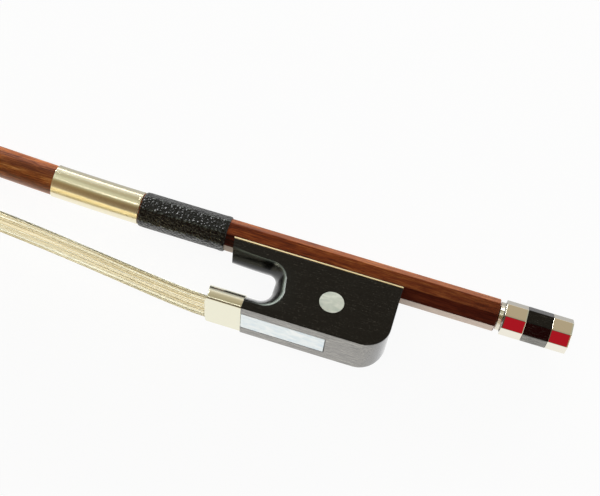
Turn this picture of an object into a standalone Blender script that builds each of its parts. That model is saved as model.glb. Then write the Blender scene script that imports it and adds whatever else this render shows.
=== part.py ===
"""Double bass bow, French pattern, lying on its side.

The bow is drawn in its own axes and then laid on the table by one empty:
x runs along the handle towards the button, y runs from the hair to the stick,
z is across the bow, and the zero point is the stick's axis over the front end
of the frog's tongue. All lengths are in metres.
"""
import math

import bmesh
import bpy
import numpy as np
from mathutils import Vector

# Overall sizes
TIP_X = -0.5936
HANDLE_END_X = 0.0990
HANDLE_FLATS = 0.01115
STICK_DIAMETER = 0.0112
NECK_DIAMETER = 0.0087
ROUND_FROM_X = -0.0325
ROUND_TO_X = -0.037167

# Bend of the stick: a slight rise before the grip, a camber towards the hair
BEND_START_X = -0.0320
RISE_LENGTH = 0.117
RISE_HEIGHT = 0.0032
CAMBER_LENGTH = 0.220
CAMBER_HEIGHT = -0.0050
NECK_HEIGHT = 0.0020
NECK_SLOPE = 0.045

# Head
HEAD_LENGTH = 0.052
HEAD_FACE_Y = -0.0258
HEAD_FACE_LENGTH = 0.0330
HEAD_FACE_HALF_WIDTH = 0.0068
HEAD_MORTISE_LENGTH = 0.0095
HEAD_MORTISE_HALF_WIDTH = 0.0048
HEAD_MORTISE_DEPTH = 0.0085
HEAD_MORTISE_INSET = 0.0040
TIP_LINER_THICKNESS = 0.0005
TIP_PLATE_THICKNESS = 0.0011

# Frog
FROG_LENGTH = 0.0640
FROG_BOTTOM_Y = -0.0308
FROG_BOTTOM_HALF_WIDTH = 0.0114
HEEL_RADIUS = 0.0096
TONGUE_RAKE = 0.0021
LINING_THICKNESS = 0.0004
SLIDE_FIT = 0.0002
LINING_RAKE = 0.51
LINING_EDGE_Y = -0.0016

# Thumb throat, at its waist and at its rim on the frog's sides
THROAT_END_X = 0.0196
THROAT_TOP_Y = -0.0100
THROAT_FLOOR_Y = -0.0223
THROAT_TOP_RADIUS = 0.0038
THROAT_FLOOR_RADIUS = 0.0045
RIM_END_X = 0.0236
RIM_TOP_Y = -0.0059
RIM_FLOOR_Y = -0.0255
RIM_TOP_RADIUS = 0.0070
RIM_FLOOR_RADIUS = 0.0073
RIM_POWER = 1.8

# Ferrule
FERRULE_FRONT_X = -0.0015
FERRULE_REAR_X = 0.0119
FERRULE_HALF_WIDTH = 0.0110
FERRULE_WALL = 0.0006
FERRULE_CORNER = 0.0010
FERRULE_SIDE = 0.0015
FERRULE_FRONT_ROUND = 0.0008
FERRULE_ROUND_FROM = 0.60

# Pearl slide and hair mortise in the frog
SLIDE_REAR_X = 0.0429
SLIDE_HALF_WIDTH = 0.0059
PEARL_THICKNESS = 0.0010
SLIDE_BASE_THICKNESS = 0.0014
DOVETAIL = 0.0007
HAIR_THICKNESS = 0.0012
KNOT_MORTISE_FRONT_X = 0.0260
KNOT_MORTISE_REAR_X = 0.0370
KNOT_MORTISE_HALF_WIDTH = 0.0058
KNOT_MORTISE_TOP_Y = -0.0176

# Pearl eyes
EYE_X = 0.0413
EYE_Y = -0.0176
EYE_DIAMETER = 0.0090
EYE_THICKNESS = 0.0012

# Screws of the lining
LINING_SCREW_DIAMETER = 0.0016
LINING_SCREW_LENGTH = 0.0048
LINING_SCREW_SPACING = 0.0200

# Screw, eyelet and button
SCREW_DIAMETER = 0.0036
EYELET_X = 0.0320
EYELET_LENGTH = 0.0068
EYELET_WIDTH = 0.0058
EYELET_HEAD_TOP_Y = 0.0036
EYELET_SHANK_DIAMETER = 0.0042
EYELET_SHANK_LENGTH = 0.0085
TRAVEL_OUT = 0.0052
TRAVEL_IN = 0.0015
NIPPLE_DIAMETER = 0.0070
NIPPLE_LENGTH = 0.0017
BUTTON_GAP = 0.0003
COLLAR_LENGTH = 0.0019
BAND_FRONT_LENGTH = 0.0080
CORE_LENGTH = 0.0091
BAND_REAR_LENGTH = 0.0074
BUTTON_FLATS = 0.0119
BUTTON_TURN = math.radians(-5.0)
BAND_WALL = 0.0008

# Grip
LEATHER_REAR_X = -0.0026
LEATHER_FRONT_X = -0.0356
LEATHER_THICKNESS = 0.00048
WINDING_REAR_X = -0.0360
WINDING_FRONT_X = -0.0697
WINDING_THICKNESS = 0.0003
WRAP_GAP = 0.00015

# Hair ribbon
HAIR_EXIT_Y = -0.0295
HAIR_RISE = 0.0125
HAIR_RISE_LENGTH = 0.078
HAIR_RISE_POWER = 1.45
HAIR_HALF_WIDTH_FROG = 0.0092
HAIR_TAPER_POWER = 1.6
HAIR_HALF_WIDTH_HEAD = 0.0056

# Clearance between pieces that touch on the real bow
GAP = 0.0003

# How far the cutting shapes reach past what they cut
OVERCUT = 0.001
DEEP_OVERCUT = 0.002
LONG_OVERCUT = 0.003
FERRULE_OVERCUT = 0.004

# Hidden ends, knots and the spread wedge
NIPPLE_CHAMFER = 0.0002
NIPPLE_ROOM_LENGTH = 0.0008
HANDLE_END_CHAMFER_DEPTH = 0.0004
HANDLE_END_CHAMFER_LENGTH = 0.0005
SCREW_PILOT_LENGTH = 0.0070
SHANK_HOLE_DEPTH = 0.010
SPIGOT_END_ROOM = 0.0004
FROG_KNOT_DIAMETER = 0.0030
FROG_KNOT_INSET = 0.0025
FROG_KNOT_ROOM = 0.0036
HEAD_KNOT_DIAMETER = 0.0026
HEAD_KNOT_INSET = 0.0022
HEAD_KNOT_ROOM = 0.0030
SPREAD_INSET = 0.0004
SPREAD_LENGTH = 0.0055
SPREAD_SLOPE_START = 0.0022
SPREAD_REAR_THICKNESS = 0.0006
SPREAD_SIDE_ROOM = 0.0016

RING = 24
TURN = 2.0 * math.pi
OCTANT = TURN / 8.0

COLOURS = {
    "wood": ((0.235, 0.070, 0.022), 0.35, 0.0),
    "ebony": ((0.012, 0.010, 0.009), 0.38, 0.0),
    "leather": ((0.010, 0.010, 0.011), 0.50, 0.0),
    "nickel_silver": ((0.700, 0.640, 0.450), 0.20, 1.0),
    "silver": ((0.780, 0.760, 0.700), 0.12, 1.0),
    "gilt_brass": ((0.800, 0.620, 0.300), 0.25, 1.0),
    "steel": ((0.550, 0.550, 0.560), 0.30, 1.0),
    "pearl": ((0.720, 0.780, 0.780), 0.22, 0.0),
    "white_plate": ((0.800, 0.770, 0.680), 0.35, 0.0),
    "maple": ((0.620, 0.440, 0.230), 0.60, 0.0),
    "horsehair": ((0.720, 0.660, 0.480), 0.50, 0.0),
    "thread": ((0.450, 0.060, 0.050), 0.80, 0.0),
}


def clear_scene():
    for obj in list(bpy.data.objects):
        bpy.data.objects.remove(obj, do_unlink=True)


def new_collection(name):
    collection = bpy.data.collections.new(name)
    bpy.context.scene.collection.children.link(collection)
    return collection


def new_material(name):
    colour, roughness, metallic = COLOURS[name]
    material = bpy.data.materials.new(name)
    material.use_nodes = True
    shader = material.node_tree.nodes["Principled BSDF"]
    shader.inputs["Base Color"].default_value = (*colour, 1.0)
    shader.inputs["Roughness"].default_value = roughness
    shader.inputs["Metallic"].default_value = metallic
    return material


class Bench:
    """The collections, materials and empties that the pieces are put into."""

    def __init__(self):
        self.parts = new_collection("double_bass_bow")
        self.cutters = new_collection("cutters")
        self.materials = {name: new_material(name) for name in COLOURS}
        self.datum = self.empty("bow_datum", None)
        self.frog_slide = self.empty("frog_slide", self.datum)
        self.screw_axis = self.empty("screw_axis", self.datum)

    def empty(self, name, parent):
        obj = bpy.data.objects.new(name, None)
        obj.parent = parent
        self.parts.objects.link(obj)
        return obj

    def place(self, name, mesh, material, parent, smooth_angle=None):
        """Put a mesh on the bench as one named piece."""
        obj = bpy.data.objects.new(name, mesh)
        obj.parent = parent
        mesh.materials.clear()
        mesh.materials.append(self.materials[material])
        if smooth_angle is not None:
            mesh.shade_smooth()
            mesh.set_sharp_from_angle(angle=math.radians(smooth_angle))
        self.parts.objects.link(obj)
        return obj

    def cutter(self, name, mesh):
        obj = bpy.data.objects.new(name, mesh)
        obj.parent = self.datum
        obj.hide_render = True
        obj.display_type = "WIRE"
        self.cutters.objects.link(obj)
        return obj


def boolean(obj, tool, operation="DIFFERENCE"):
    modifier = obj.modifiers.new(tool.name, "BOOLEAN")
    modifier.operation = operation
    modifier.solver = "EXACT"
    modifier.object = tool


def cut(bench, obj, *meshes):
    """Cut each mesh out of the piece, as a cutter of its own."""
    for number, mesh in enumerate(meshes):
        tool = bench.cutter(f"{obj.name}_{mesh.name}_{number}", mesh)
        boolean(obj, tool)


def mesh_from_bmesh(name, bm):
    bmesh.ops.recalc_face_normals(bm, faces=bm.faces)
    mesh = bpy.data.meshes.new(name)
    bm.to_mesh(mesh)
    bm.free()
    return mesh


def loft(name, rings):
    """Skin rings of points that have the same count; the two end rings are capped."""
    bm = bmesh.new()
    rows = [[bm.verts.new(point) for point in ring] for ring in rings]
    count = len(rows[0])
    for row, following in zip(rows, rows[1:]):
        for k in range(count):
            after = (k + 1) % count
            bm.faces.new((row[k], row[after], following[after], following[k]))
    bm.faces.new(rows[0])
    bm.faces.new(rows[-1])
    return mesh_from_bmesh(name, bm)


def box(name, low, high):
    bm = bmesh.new()
    bmesh.ops.create_cube(bm, size=1.0)
    low, high = Vector(low), Vector(high)
    size = high - low
    bmesh.ops.scale(bm, vec=size, verts=bm.verts)
    bmesh.ops.translate(bm, vec=(low + high) / 2.0, verts=bm.verts)
    return mesh_from_bmesh(name, bm)


def rod(name, start, end, diameter, end_diameter=None, sides=24):
    """A cylinder or cone from one point to another."""
    start, end = Vector(start), Vector(end)
    along = end - start
    bm = bmesh.new()
    bmesh.ops.create_cone(
        bm,
        cap_ends=True,
        segments=sides,
        radius1=diameter / 2.0,
        radius2=(end_diameter or diameter) / 2.0,
        depth=along.length,
    )
    turn = along.to_track_quat("Z", "Y").to_matrix()
    bmesh.ops.rotate(bm, matrix=turn, verts=bm.verts)
    bmesh.ops.translate(bm, vec=(start + end) / 2.0, verts=bm.verts)
    return mesh_from_bmesh(name, bm)


def prism_across(name, outline, half_width):
    """A flat outline in x and y, extruded both ways across the bow."""
    low = [(x, y, -half_width) for x, y in outline]
    high = [(x, y, half_width) for x, y in outline]
    return loft(name, [low, high])


def prism_along(name, section, start_x, end_x):
    """A section in y and z, extruded along the bow."""
    return loft(name, [[(x, y, z) for y, z in section] for x in (start_x, end_x)])


def arc(centre, radius, start, end, steps):
    """Points on an arc, its angles in degrees."""
    angles = np.radians(np.linspace(start, end, steps + 1))
    return [(centre[0] + radius * math.cos(a), centre[1] + radius * math.sin(a)) for a in angles]


def smoothstep(t):
    t = min(max(t, 0.0), 1.0)
    return t * t * (3.0 - 2.0 * t)


def hermite(t, start, end, start_slope, end_slope, span):
    """Cubic through two heights with two slopes over a span."""
    t2, t3 = t * t, t * t * t
    return (
        (2 * t3 - 3 * t2 + 1) * start
        + (t3 - 2 * t2 + t) * start_slope * span
        + (3 * t2 - 2 * t3) * end
        + (t3 - t2) * end_slope * span
    )


NECK_X = TIP_X + HEAD_LENGTH


def stick_height(x):
    """Height of the stick's centre line: straight handle, rise, camber, neck."""
    rise_x = BEND_START_X - RISE_LENGTH
    camber_x = rise_x - CAMBER_LENGTH
    if x >= BEND_START_X:
        return 0.0
    if x >= rise_x:
        return RISE_HEIGHT * smoothstep((BEND_START_X - x) / RISE_LENGTH)
    if x >= camber_x:
        t = (rise_x - x) / CAMBER_LENGTH
        return RISE_HEIGHT + (CAMBER_HEIGHT - RISE_HEIGHT) * smoothstep(t)
    span = camber_x - NECK_X
    return hermite((camber_x - x) / span, CAMBER_HEIGHT, NECK_HEIGHT, 0.0, NECK_SLOPE, span)


def stick_radius(x):
    """Half the stick's thickness, tapering from the handle to the neck."""
    if x >= ROUND_FROM_X:
        return HANDLE_FLATS / 2.0
    if x >= ROUND_TO_X:
        t = smoothstep((ROUND_FROM_X - x) / (ROUND_FROM_X - ROUND_TO_X))
        return (HANDLE_FLATS + (STICK_DIAMETER - HANDLE_FLATS) * t) / 2.0
    t = (ROUND_TO_X - x) / (ROUND_TO_X - NECK_X)
    return (STICK_DIAMETER + (NECK_DIAMETER - STICK_DIAMETER) * t**1.2) / 2.0


def facet_weight(x):
    """1 on the octagonal handle, 0 where the stick is round."""
    return 1.0 - smoothstep((ROUND_FROM_X - x) / (ROUND_FROM_X - ROUND_TO_X))


def ring_angles():
    return [(k + 0.5) * TURN / RING for k in range(RING)]


def octagon_reach(angle):
    """Distance from centre to edge of an octagon whose flats lie 1 from the centre."""
    off = (angle + OCTANT / 2.0) % OCTANT - OCTANT / 2.0
    return 1.0 / math.cos(off)


def stick_ring(x, radius, facets, centre_y=None, turn=0.0):
    """One ring round the bow's long axis, octagonal where facets is 1."""
    centre_y = stick_height(x) if centre_y is None else centre_y
    points = []
    for angle in ring_angles():
        reach = radius * (1.0 + facets * (octagon_reach(angle) - 1.0))
        points.append((
            x,
            centre_y + reach * math.cos(angle + turn),
            reach * math.sin(angle + turn),
        ))
    return points


def octagon(flats):
    """Octagonal section in y and z with one flat towards the hair."""
    corner = flats / 2.0 / math.cos(OCTANT / 2.0)
    angles = [(k + 0.5) * OCTANT for k in range(8)]
    return [(corner * math.cos(a), corner * math.sin(a)) for a in angles]


def bezier(points, t):
    """Point on a Bezier curve with any number of control points."""
    points = np.array(points, float)
    while len(points) > 1:
        points = (1.0 - t) * points[:-1] + t * points[1:]
    return points[0]


def head_crest(t):
    """Upper and front edge of the head in side view: along the stick, over the nose, to the beak."""
    top = NECK_HEIGHT + NECK_DIAMETER / 2.0
    nose = (TIP_X + 0.0165, top + 0.0018)
    if t < 0.5:
        lead = (NECK_X - 0.016, top + 0.0016)
        return bezier([(NECK_X, top), lead, nose], t / 0.5)
    brow = (TIP_X + 0.0085, top - 0.0030)
    chin = (TIP_X + 0.0062, HEAD_FACE_Y + 0.0085)
    return bezier([nose, brow, chin, (TIP_X, HEAD_FACE_Y)], (t - 0.5) / 0.5)


def head_throat(t):
    """Lower and rear edge of the head in side view: under the stick and down to the face."""
    bottom = NECK_HEIGHT - NECK_DIAMETER / 2.0
    rear = (TIP_X + HEAD_FACE_LENGTH, HEAD_FACE_Y)
    lead = (rear[0] + 0.0035, bottom - 0.0002)
    bend = (rear[0] - 0.0058, bottom - 0.0010)
    drop = (rear[0] - 0.0030, HEAD_FACE_Y + 0.0080)
    return bezier([(NECK_X, bottom), lead, bend, drop, rear], t)


def head_ring(t):
    """One ring of the head: round at the neck, shield-shaped with a front ridge at the face."""
    crest, throat = head_crest(t), head_throat(t)
    middle, reach = (crest + throat) / 2.0, (crest - throat) / 2.0
    shield = smoothstep(t * 1.6 - 0.25)
    half_width = NECK_DIAMETER / 2.0 + (HEAD_FACE_HALF_WIDTH - NECK_DIAMETER / 2.0) * smoothstep(t)
    points = []
    for angle in ring_angles():
        along, across = math.cos(angle), math.sin(angle)
        ahead = max(0.0, (along + 0.05) / 1.05)
        width = (1.0 - ahead**1.7) ** 0.9
        across = (1.0 - shield) * across + shield * math.copysign(max(width, 0.03), across)
        point = middle + reach * along
        points.append((point[0], point[1], half_width * across))
    return points


def fade_stations():
    """Where rings stand as the octagon turns round."""
    return np.linspace(ROUND_FROM_X, ROUND_TO_X, 5)


def stick_mesh():
    rings = []
    nipple_end_x = HANDLE_END_X + NIPPLE_LENGTH
    rings.append(stick_ring(nipple_end_x, NIPPLE_DIAMETER / 2.0 - NIPPLE_CHAMFER, 0.0))
    rings.append(stick_ring(HANDLE_END_X, NIPPLE_DIAMETER / 2.0, 0.0))
    rings.append(stick_ring(HANDLE_END_X, HANDLE_FLATS / 2.0 - HANDLE_END_CHAMFER_DEPTH, 1.0))
    rings.append(stick_ring(HANDLE_END_X - HANDLE_END_CHAMFER_LENGTH, HANDLE_FLATS / 2.0, 1.0))
    shaft = np.linspace(ROUND_TO_X, NECK_X, 27)[1:-1]
    for x in (*fade_stations(), *shaft):
        rings.append(stick_ring(x, stick_radius(x), facet_weight(x)))
    for t in np.linspace(0.0, 1.0, 19):
        rings.append(head_ring(t))
    return loft("stick", rings)


def eyelet_slot():
    """Room for the eyelet's whole travel, open towards the frog."""
    half_width = EYELET_WIDTH / 2.0 + GAP
    front = EYELET_X - EYELET_LENGTH / 2.0 - TRAVEL_IN - GAP
    rear = EYELET_X + EYELET_LENGTH / 2.0 + TRAVEL_OUT + GAP
    low = (front, -HANDLE_FLATS, -half_width)
    return box("eyelet_slot", low, (rear, EYELET_HEAD_TOP_Y + GAP, half_width))


def screw_front_x():
    """Front end of the screw, in its pilot hole ahead of the eyelet slot."""
    return EYELET_X - EYELET_LENGTH / 2.0 - TRAVEL_IN - SCREW_PILOT_LENGTH


def head_rear_x():
    return TIP_X + HEAD_FACE_LENGTH


def head_mortise_rear_x():
    return head_rear_x() - HEAD_MORTISE_INSET


def head_mortise(name, low_y, high_y, grow=0.0):
    rear = head_mortise_rear_x()
    half_width = HEAD_MORTISE_HALF_WIDTH + grow
    low = (rear - HEAD_MORTISE_LENGTH - grow, low_y, -half_width)
    return box(name, low, (rear + grow, high_y, half_width))


def make_stick(bench):
    stick = bench.place("stick", stick_mesh(), "wood", bench.datum, 18)
    bore_start = (screw_front_x() - GAP, 0.0, 0.0)
    bore_end = (HANDLE_END_X + 2.0 * NIPPLE_LENGTH, 0.0, 0.0)
    bore = rod("screw_bore", bore_start, bore_end, SCREW_DIAMETER + 2.0 * GAP)
    top = HEAD_FACE_Y + HEAD_MORTISE_DEPTH
    mortise = head_mortise("head_mortise", HEAD_FACE_Y - DEEP_OVERCUT, top)
    cut(bench, stick, eyelet_slot(), bore, mortise)
    return stick


def sleeve(name, start_x, end_x, gap, thickness, facets, steps):
    """A wrap that follows the stick, its ends slightly rounded down."""
    fade = [x for x in fade_stations() if end_x + GAP < x < start_x - GAP]
    xs = sorted((*np.linspace(start_x, end_x, steps), *fade), reverse=True)
    inner = [stick_ring(x, stick_radius(x) + gap, facet_weight(x)) for x in xs]
    outer = []
    for x in xs:
        ease = 0.35 * thickness if x in (xs[0], xs[-1]) else 0.0
        radius = stick_radius(x) + gap + thickness - ease
        outer.append(stick_ring(x, radius, facets * facet_weight(x)))
    rings = [*outer, *reversed(inner), outer[0]]
    bm = bmesh.new()
    rows = [[bm.verts.new(point) for point in ring] for ring in rings[:-1]]
    rows.append(rows[0])
    for row, following in zip(rows, rows[1:]):
        for k in range(RING):
            after = (k + 1) % RING
            bm.faces.new((row[k], row[after], following[after], following[k]))
    return mesh_from_bmesh(name, bm)


def make_grip(bench):
    leather = sleeve(
        "thumb_leather", LEATHER_REAR_X, LEATHER_FRONT_X, WRAP_GAP, LEATHER_THICKNESS, 0.95, 8
    )
    bench.place("thumb_leather", leather, "leather", bench.datum, 15)
    winding = sleeve(
        "winding", WINDING_REAR_X, WINDING_FRONT_X, WRAP_GAP, WINDING_THICKNESS, 1.0, 9
    )
    bench.place("winding", winding, "nickel_silver", bench.datum, 30)


def shield_outline():
    """Outline of the head's face seen from below, from the rear round to the rear."""
    ring = head_ring(1.0)
    return [(x, z) for x, y, z in ring]


def plate_mesh(name, top_y, thickness, grow=0.0):
    """A thin plate with the outline of the head's face."""
    outline = shield_outline()
    top = [(x, top_y, z) for x, z in outline]
    low = [(x, top_y - thickness, z) for x, z in outline]
    return loft(name, [top, low])


def make_head_plates(bench):
    liner_top = HEAD_FACE_Y - GAP
    plate_top = liner_top - TIP_LINER_THICKNESS - GAP
    opening_low = plate_top - 2.0 * TIP_PLATE_THICKNESS
    liner = plate_mesh("tip_liner", liner_top, TIP_LINER_THICKNESS)
    liner = bench.place("tip_liner", liner, "ebony", bench.datum)
    cut(bench, liner, head_mortise("opening", opening_low, HEAD_FACE_Y, 0.0001))
    plate = plate_mesh("tip_plate", plate_top, TIP_PLATE_THICKNESS)
    plate = bench.place("tip_plate", plate, "white_plate", bench.datum)
    cut(bench, plate, head_mortise("opening", opening_low, HEAD_FACE_Y, 0.0001))


def frog_half_width(y):
    """Half the frog's width at a height: its sides flare from the stick to the underside."""
    top_y = -HANDLE_FLATS / 2.0 * math.tan(OCTANT / 2.0)
    slope = (FROG_BOTTOM_HALF_WIDTH - HANDLE_FLATS / 2.0) / (top_y - FROG_BOTTOM_Y)
    return HANDLE_FLATS / 2.0 + slope * (top_y - y)


def frog_profile():
    """Side view: raked tongue, square rear, rounded heel, open front above the ferrule's foot."""
    centre = (FROG_LENGTH - HEEL_RADIUS, FROG_BOTTOM_Y + HEEL_RADIUS)
    heel = arc(centre, HEEL_RADIUS, 0.0, -90.0, 10)
    rake = TONGUE_RAKE * THROAT_FLOOR_Y / THROAT_TOP_Y
    front = [(FERRULE_REAR_X, FROG_BOTTOM_Y), (FERRULE_REAR_X, THROAT_FLOOR_Y), (rake, THROAT_FLOOR_Y)]
    return [(0.0, 0.0), (FROG_LENGTH, 0.0), *heel, *front]


def frog_section():
    """End view: a trapezium that is as wide as the handle at the top, open past the block."""
    low_y, high_y = FROG_BOTTOM_Y - DEEP_OVERCUT, DEEP_OVERCUT
    low, high = frog_half_width(low_y), frog_half_width(high_y)
    return [(high_y, -high), (low_y, -low), (low_y, low), (high_y, high)]


def throat_outline(share):
    """Side view of the thumb throat: share 0 is its waist, 1 its rim on the frog's side."""
    def between(waist, rim):
        return waist + (rim - waist) * share
    end_x = between(THROAT_END_X, RIM_END_X)
    floor_y = between(THROAT_FLOOR_Y, RIM_FLOOR_Y)
    top_radius = between(THROAT_TOP_RADIUS, RIM_TOP_RADIUS)
    floor_radius = between(THROAT_FLOOR_RADIUS, RIM_FLOOR_RADIUS)
    droop = between(0.0004, 0.0019)
    top_y = between(THROAT_TOP_Y, RIM_TOP_Y)
    front_x = FERRULE_FRONT_X - FERRULE_OVERCUT
    roof = [(front_x, top_y + droop), (end_x - top_radius - 0.0035, top_y - droop * 0.3)]
    shoulder_y = top_y - droop * 0.4 - top_radius
    shoulder = arc((end_x - top_radius, shoulder_y), top_radius, 90.0, 0.0, 8)
    foot = arc((end_x - floor_radius, floor_y + floor_radius), floor_radius, 0.0, -90.0, 7)
    return [*roof, *shoulder, *foot, (front_x, floor_y)]


def throat_cutter():
    """The throat's waist flares out to its rim by a power of the distance from the middle."""
    rings = []
    rim_z = frog_half_width((RIM_TOP_Y + RIM_FLOOR_Y) / 2.0)
    reach = frog_half_width(FROG_BOTTOM_Y) + OVERCUT
    for z in np.linspace(-reach, reach, 15):
        share = (abs(z) / rim_z) ** RIM_POWER
        rings.append([(x, y, z) for x, y in throat_outline(share)])
    return loft("throat", rings)


def ferrule_side_y():
    return FROG_BOTTOM_Y + FERRULE_SIDE


def ferrule_arch(inset, start, end):
    """Points of the ferrule's elliptical arch between two angles, drawn in by an inset."""
    rise = THROAT_FLOOR_Y - inset - ferrule_side_y()
    half_width = FERRULE_HALF_WIDTH - inset
    angles = np.linspace(start, end, 17)
    return [(ferrule_side_y() + rise * math.sin(a), half_width * math.cos(a)) for a in angles]


def ferrule_section(inset=0.0):
    """D-shaped section in y and z: flat underside, small corners, arched top."""
    half_width = FERRULE_HALF_WIDTH - inset
    low = FROG_BOTTOM_Y + inset
    corner = max(FERRULE_CORNER - inset, 0.0003)
    arch = ferrule_arch(inset, 0.0, math.pi)
    left = arc((low + corner, -half_width + corner), corner, 270.0, 180.0, 3)
    right = arc((low + corner, half_width - corner), corner, 180.0, 90.0, 3)
    return [*arch, *left, *right]


def ferrule_ring(x, inset, rounded=0.0):
    """One ring of the ferrule; its front edge draws back towards the sides."""
    points = []
    for y, z in ferrule_section(inset):
        outer = max(0.0, abs(z) / FERRULE_HALF_WIDTH - FERRULE_ROUND_FROM)
        back = rounded * (outer / (1.0 - FERRULE_ROUND_FROM)) ** 2
        points.append((x + back, y, z))
    return points


def make_ferrule(bench):
    ring_x = (FERRULE_FRONT_X, FERRULE_REAR_X)
    skin = [ferrule_ring(x, 0.0, FERRULE_FRONT_ROUND if x == ring_x[0] else 0.0) for x in ring_x]
    mesh = loft("ferrule", skin)
    ferrule = bench.place("ferrule", mesh, "nickel_silver", bench.frog_slide, 30)
    bore = [ferrule_ring(x, FERRULE_WALL) for x in (ring_x[0] - DEEP_OVERCUT, ring_x[1] + DEEP_OVERCUT)]
    cut(bench, ferrule, loft("bore", bore))


def hair_floor_y():
    """Underside of the hair where it runs over the slide base inside the frog."""
    return FROG_BOTTOM_Y + PEARL_THICKNESS + GAP + SLIDE_BASE_THICKNESS + GAP


def slide_section(grow=0.0):
    """Dovetail section of the slide's bed, wider inside than at the underside."""
    low, high = FROG_BOTTOM_Y - OVERCUT, hair_floor_y() - GAP + grow
    neck = SLIDE_HALF_WIDTH + grow
    wide = neck + DOVETAIL
    mouth_y = FROG_BOTTOM_Y + PEARL_THICKNESS + GAP - grow
    return [(low, -neck), (low, neck), (mouth_y, neck), (high, wide), (high, -wide), (mouth_y, -neck)]


def frog_tenon():
    """The frog's foot inside the ferrule, flat underneath for the wedge and the hair."""
    inset = FERRULE_WALL + GAP
    flat_y = hair_floor_y() + HAIR_THICKNESS + GAP
    foot = math.asin((flat_y - ferrule_side_y()) / (THROAT_FLOOR_Y - inset - ferrule_side_y()))
    section = ferrule_arch(inset, foot, math.pi - foot)
    start_x = FERRULE_FRONT_X + 0.0030
    return prism_along("tenon", section, start_x, FERRULE_REAR_X + FERRULE_OVERCUT)


def channel_cutter():
    """The bed for the stick and the lining, an octagon larger than the handle all round."""
    flats = HANDLE_FLATS + 2.0 * (SLIDE_FIT + LINING_THICKNESS + SLIDE_FIT)
    return prism_along("channel", octagon(flats), -LONG_OVERCUT, FROG_LENGTH + LONG_OVERCUT)


def knot_mortise(name, low_y, grow=0.0):
    low = (KNOT_MORTISE_FRONT_X - grow, low_y, -KNOT_MORTISE_HALF_WIDTH - grow)
    high = (KNOT_MORTISE_REAR_X + grow, KNOT_MORTISE_TOP_Y + grow, KNOT_MORTISE_HALF_WIDTH + grow)
    return box(name, low, high)


def hair_channel():
    """Flat passage for the hair from the knot's mortise to the ferrule."""
    low_y = hair_floor_y() - GAP
    high_y = hair_floor_y() + HAIR_THICKNESS + GAP
    half_width = SLIDE_HALF_WIDTH + DOVETAIL + 0.0005
    high = (KNOT_MORTISE_FRONT_X + OVERCUT, high_y, half_width)
    return box("hair_channel", (-FERRULE_OVERCUT, low_y, -half_width), high)


def side_direction(side):
    """Outward normal of the frog's flaring side, side being 1 or -1."""
    slope = frog_half_width(-1.0) - frog_half_width(0.0)
    return Vector((0.0, slope, side)).normalized()


def eye_rod(name, side, diameter, depth, proud):
    """A disc square to the frog's side at the eye's place."""
    face = Vector((EYE_X, EYE_Y, side * frog_half_width(EYE_Y)))
    normal = side_direction(side)
    return rod(name, face - normal * depth, face + normal * proud, diameter, sides=48)


def shank_bottom_y():
    return -HANDLE_FLATS / 2.0 - EYELET_SHANK_LENGTH


def lining_screw_spots():
    """The lining's two screws stand either side of the eyelet."""
    return (EYELET_X - LINING_SCREW_SPACING, EYELET_X + LINING_SCREW_SPACING)


def lining_screw_hole(x):
    low = (x, -HANDLE_FLATS / 2.0 - LINING_SCREW_LENGTH - 2.0 * GAP, 0.0)
    return rod("screw_hole", low, (x, 0.0, 0.0), LINING_SCREW_DIAMETER + 2.0 * GAP, sides=12)


def make_frog(bench):
    block = prism_across("frog", frog_profile(), FROG_BOTTOM_HALF_WIDTH + DEEP_OVERCUT)
    frog = bench.place("frog", block, "ebony", bench.frog_slide, 20)
    sides = prism_along("sides", frog_section(), -DEEP_OVERCUT, FROG_LENGTH + DEEP_OVERCUT)
    sides = bench.cutter("frog_sides", sides)
    boolean(frog, sides, "INTERSECT")
    cut(bench, frog, throat_cutter())
    tenon = bench.cutter("frog_tenon", frog_tenon())
    boolean(frog, tenon, "UNION")
    bed = prism_along("slide_bed", slide_section(GAP), FERRULE_FRONT_X, SLIDE_REAR_X + GAP)
    shank_low = (EYELET_X, shank_bottom_y() - GAP, 0.0)
    shank = rod("shank_hole", shank_low, (EYELET_X, 0.0, 0.0), EYELET_SHANK_DIAMETER + 2.0 * GAP)
    mortise = knot_mortise("knot_mortise", hair_floor_y() - GAP)
    cut(bench, frog, channel_cutter(), bed, hair_channel(), mortise, shank)
    for side, name in ((1, "near"), (-1, "far")):
        pocket = eye_rod(f"eye_{name}", side, EYE_DIAMETER + 2.0 * SLIDE_FIT, EYE_THICKNESS + GAP, OVERCUT)
        cut(bench, frog, pocket)
    for x in lining_screw_spots():
        cut(bench, frog, lining_screw_hole(x))
    return frog


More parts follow.
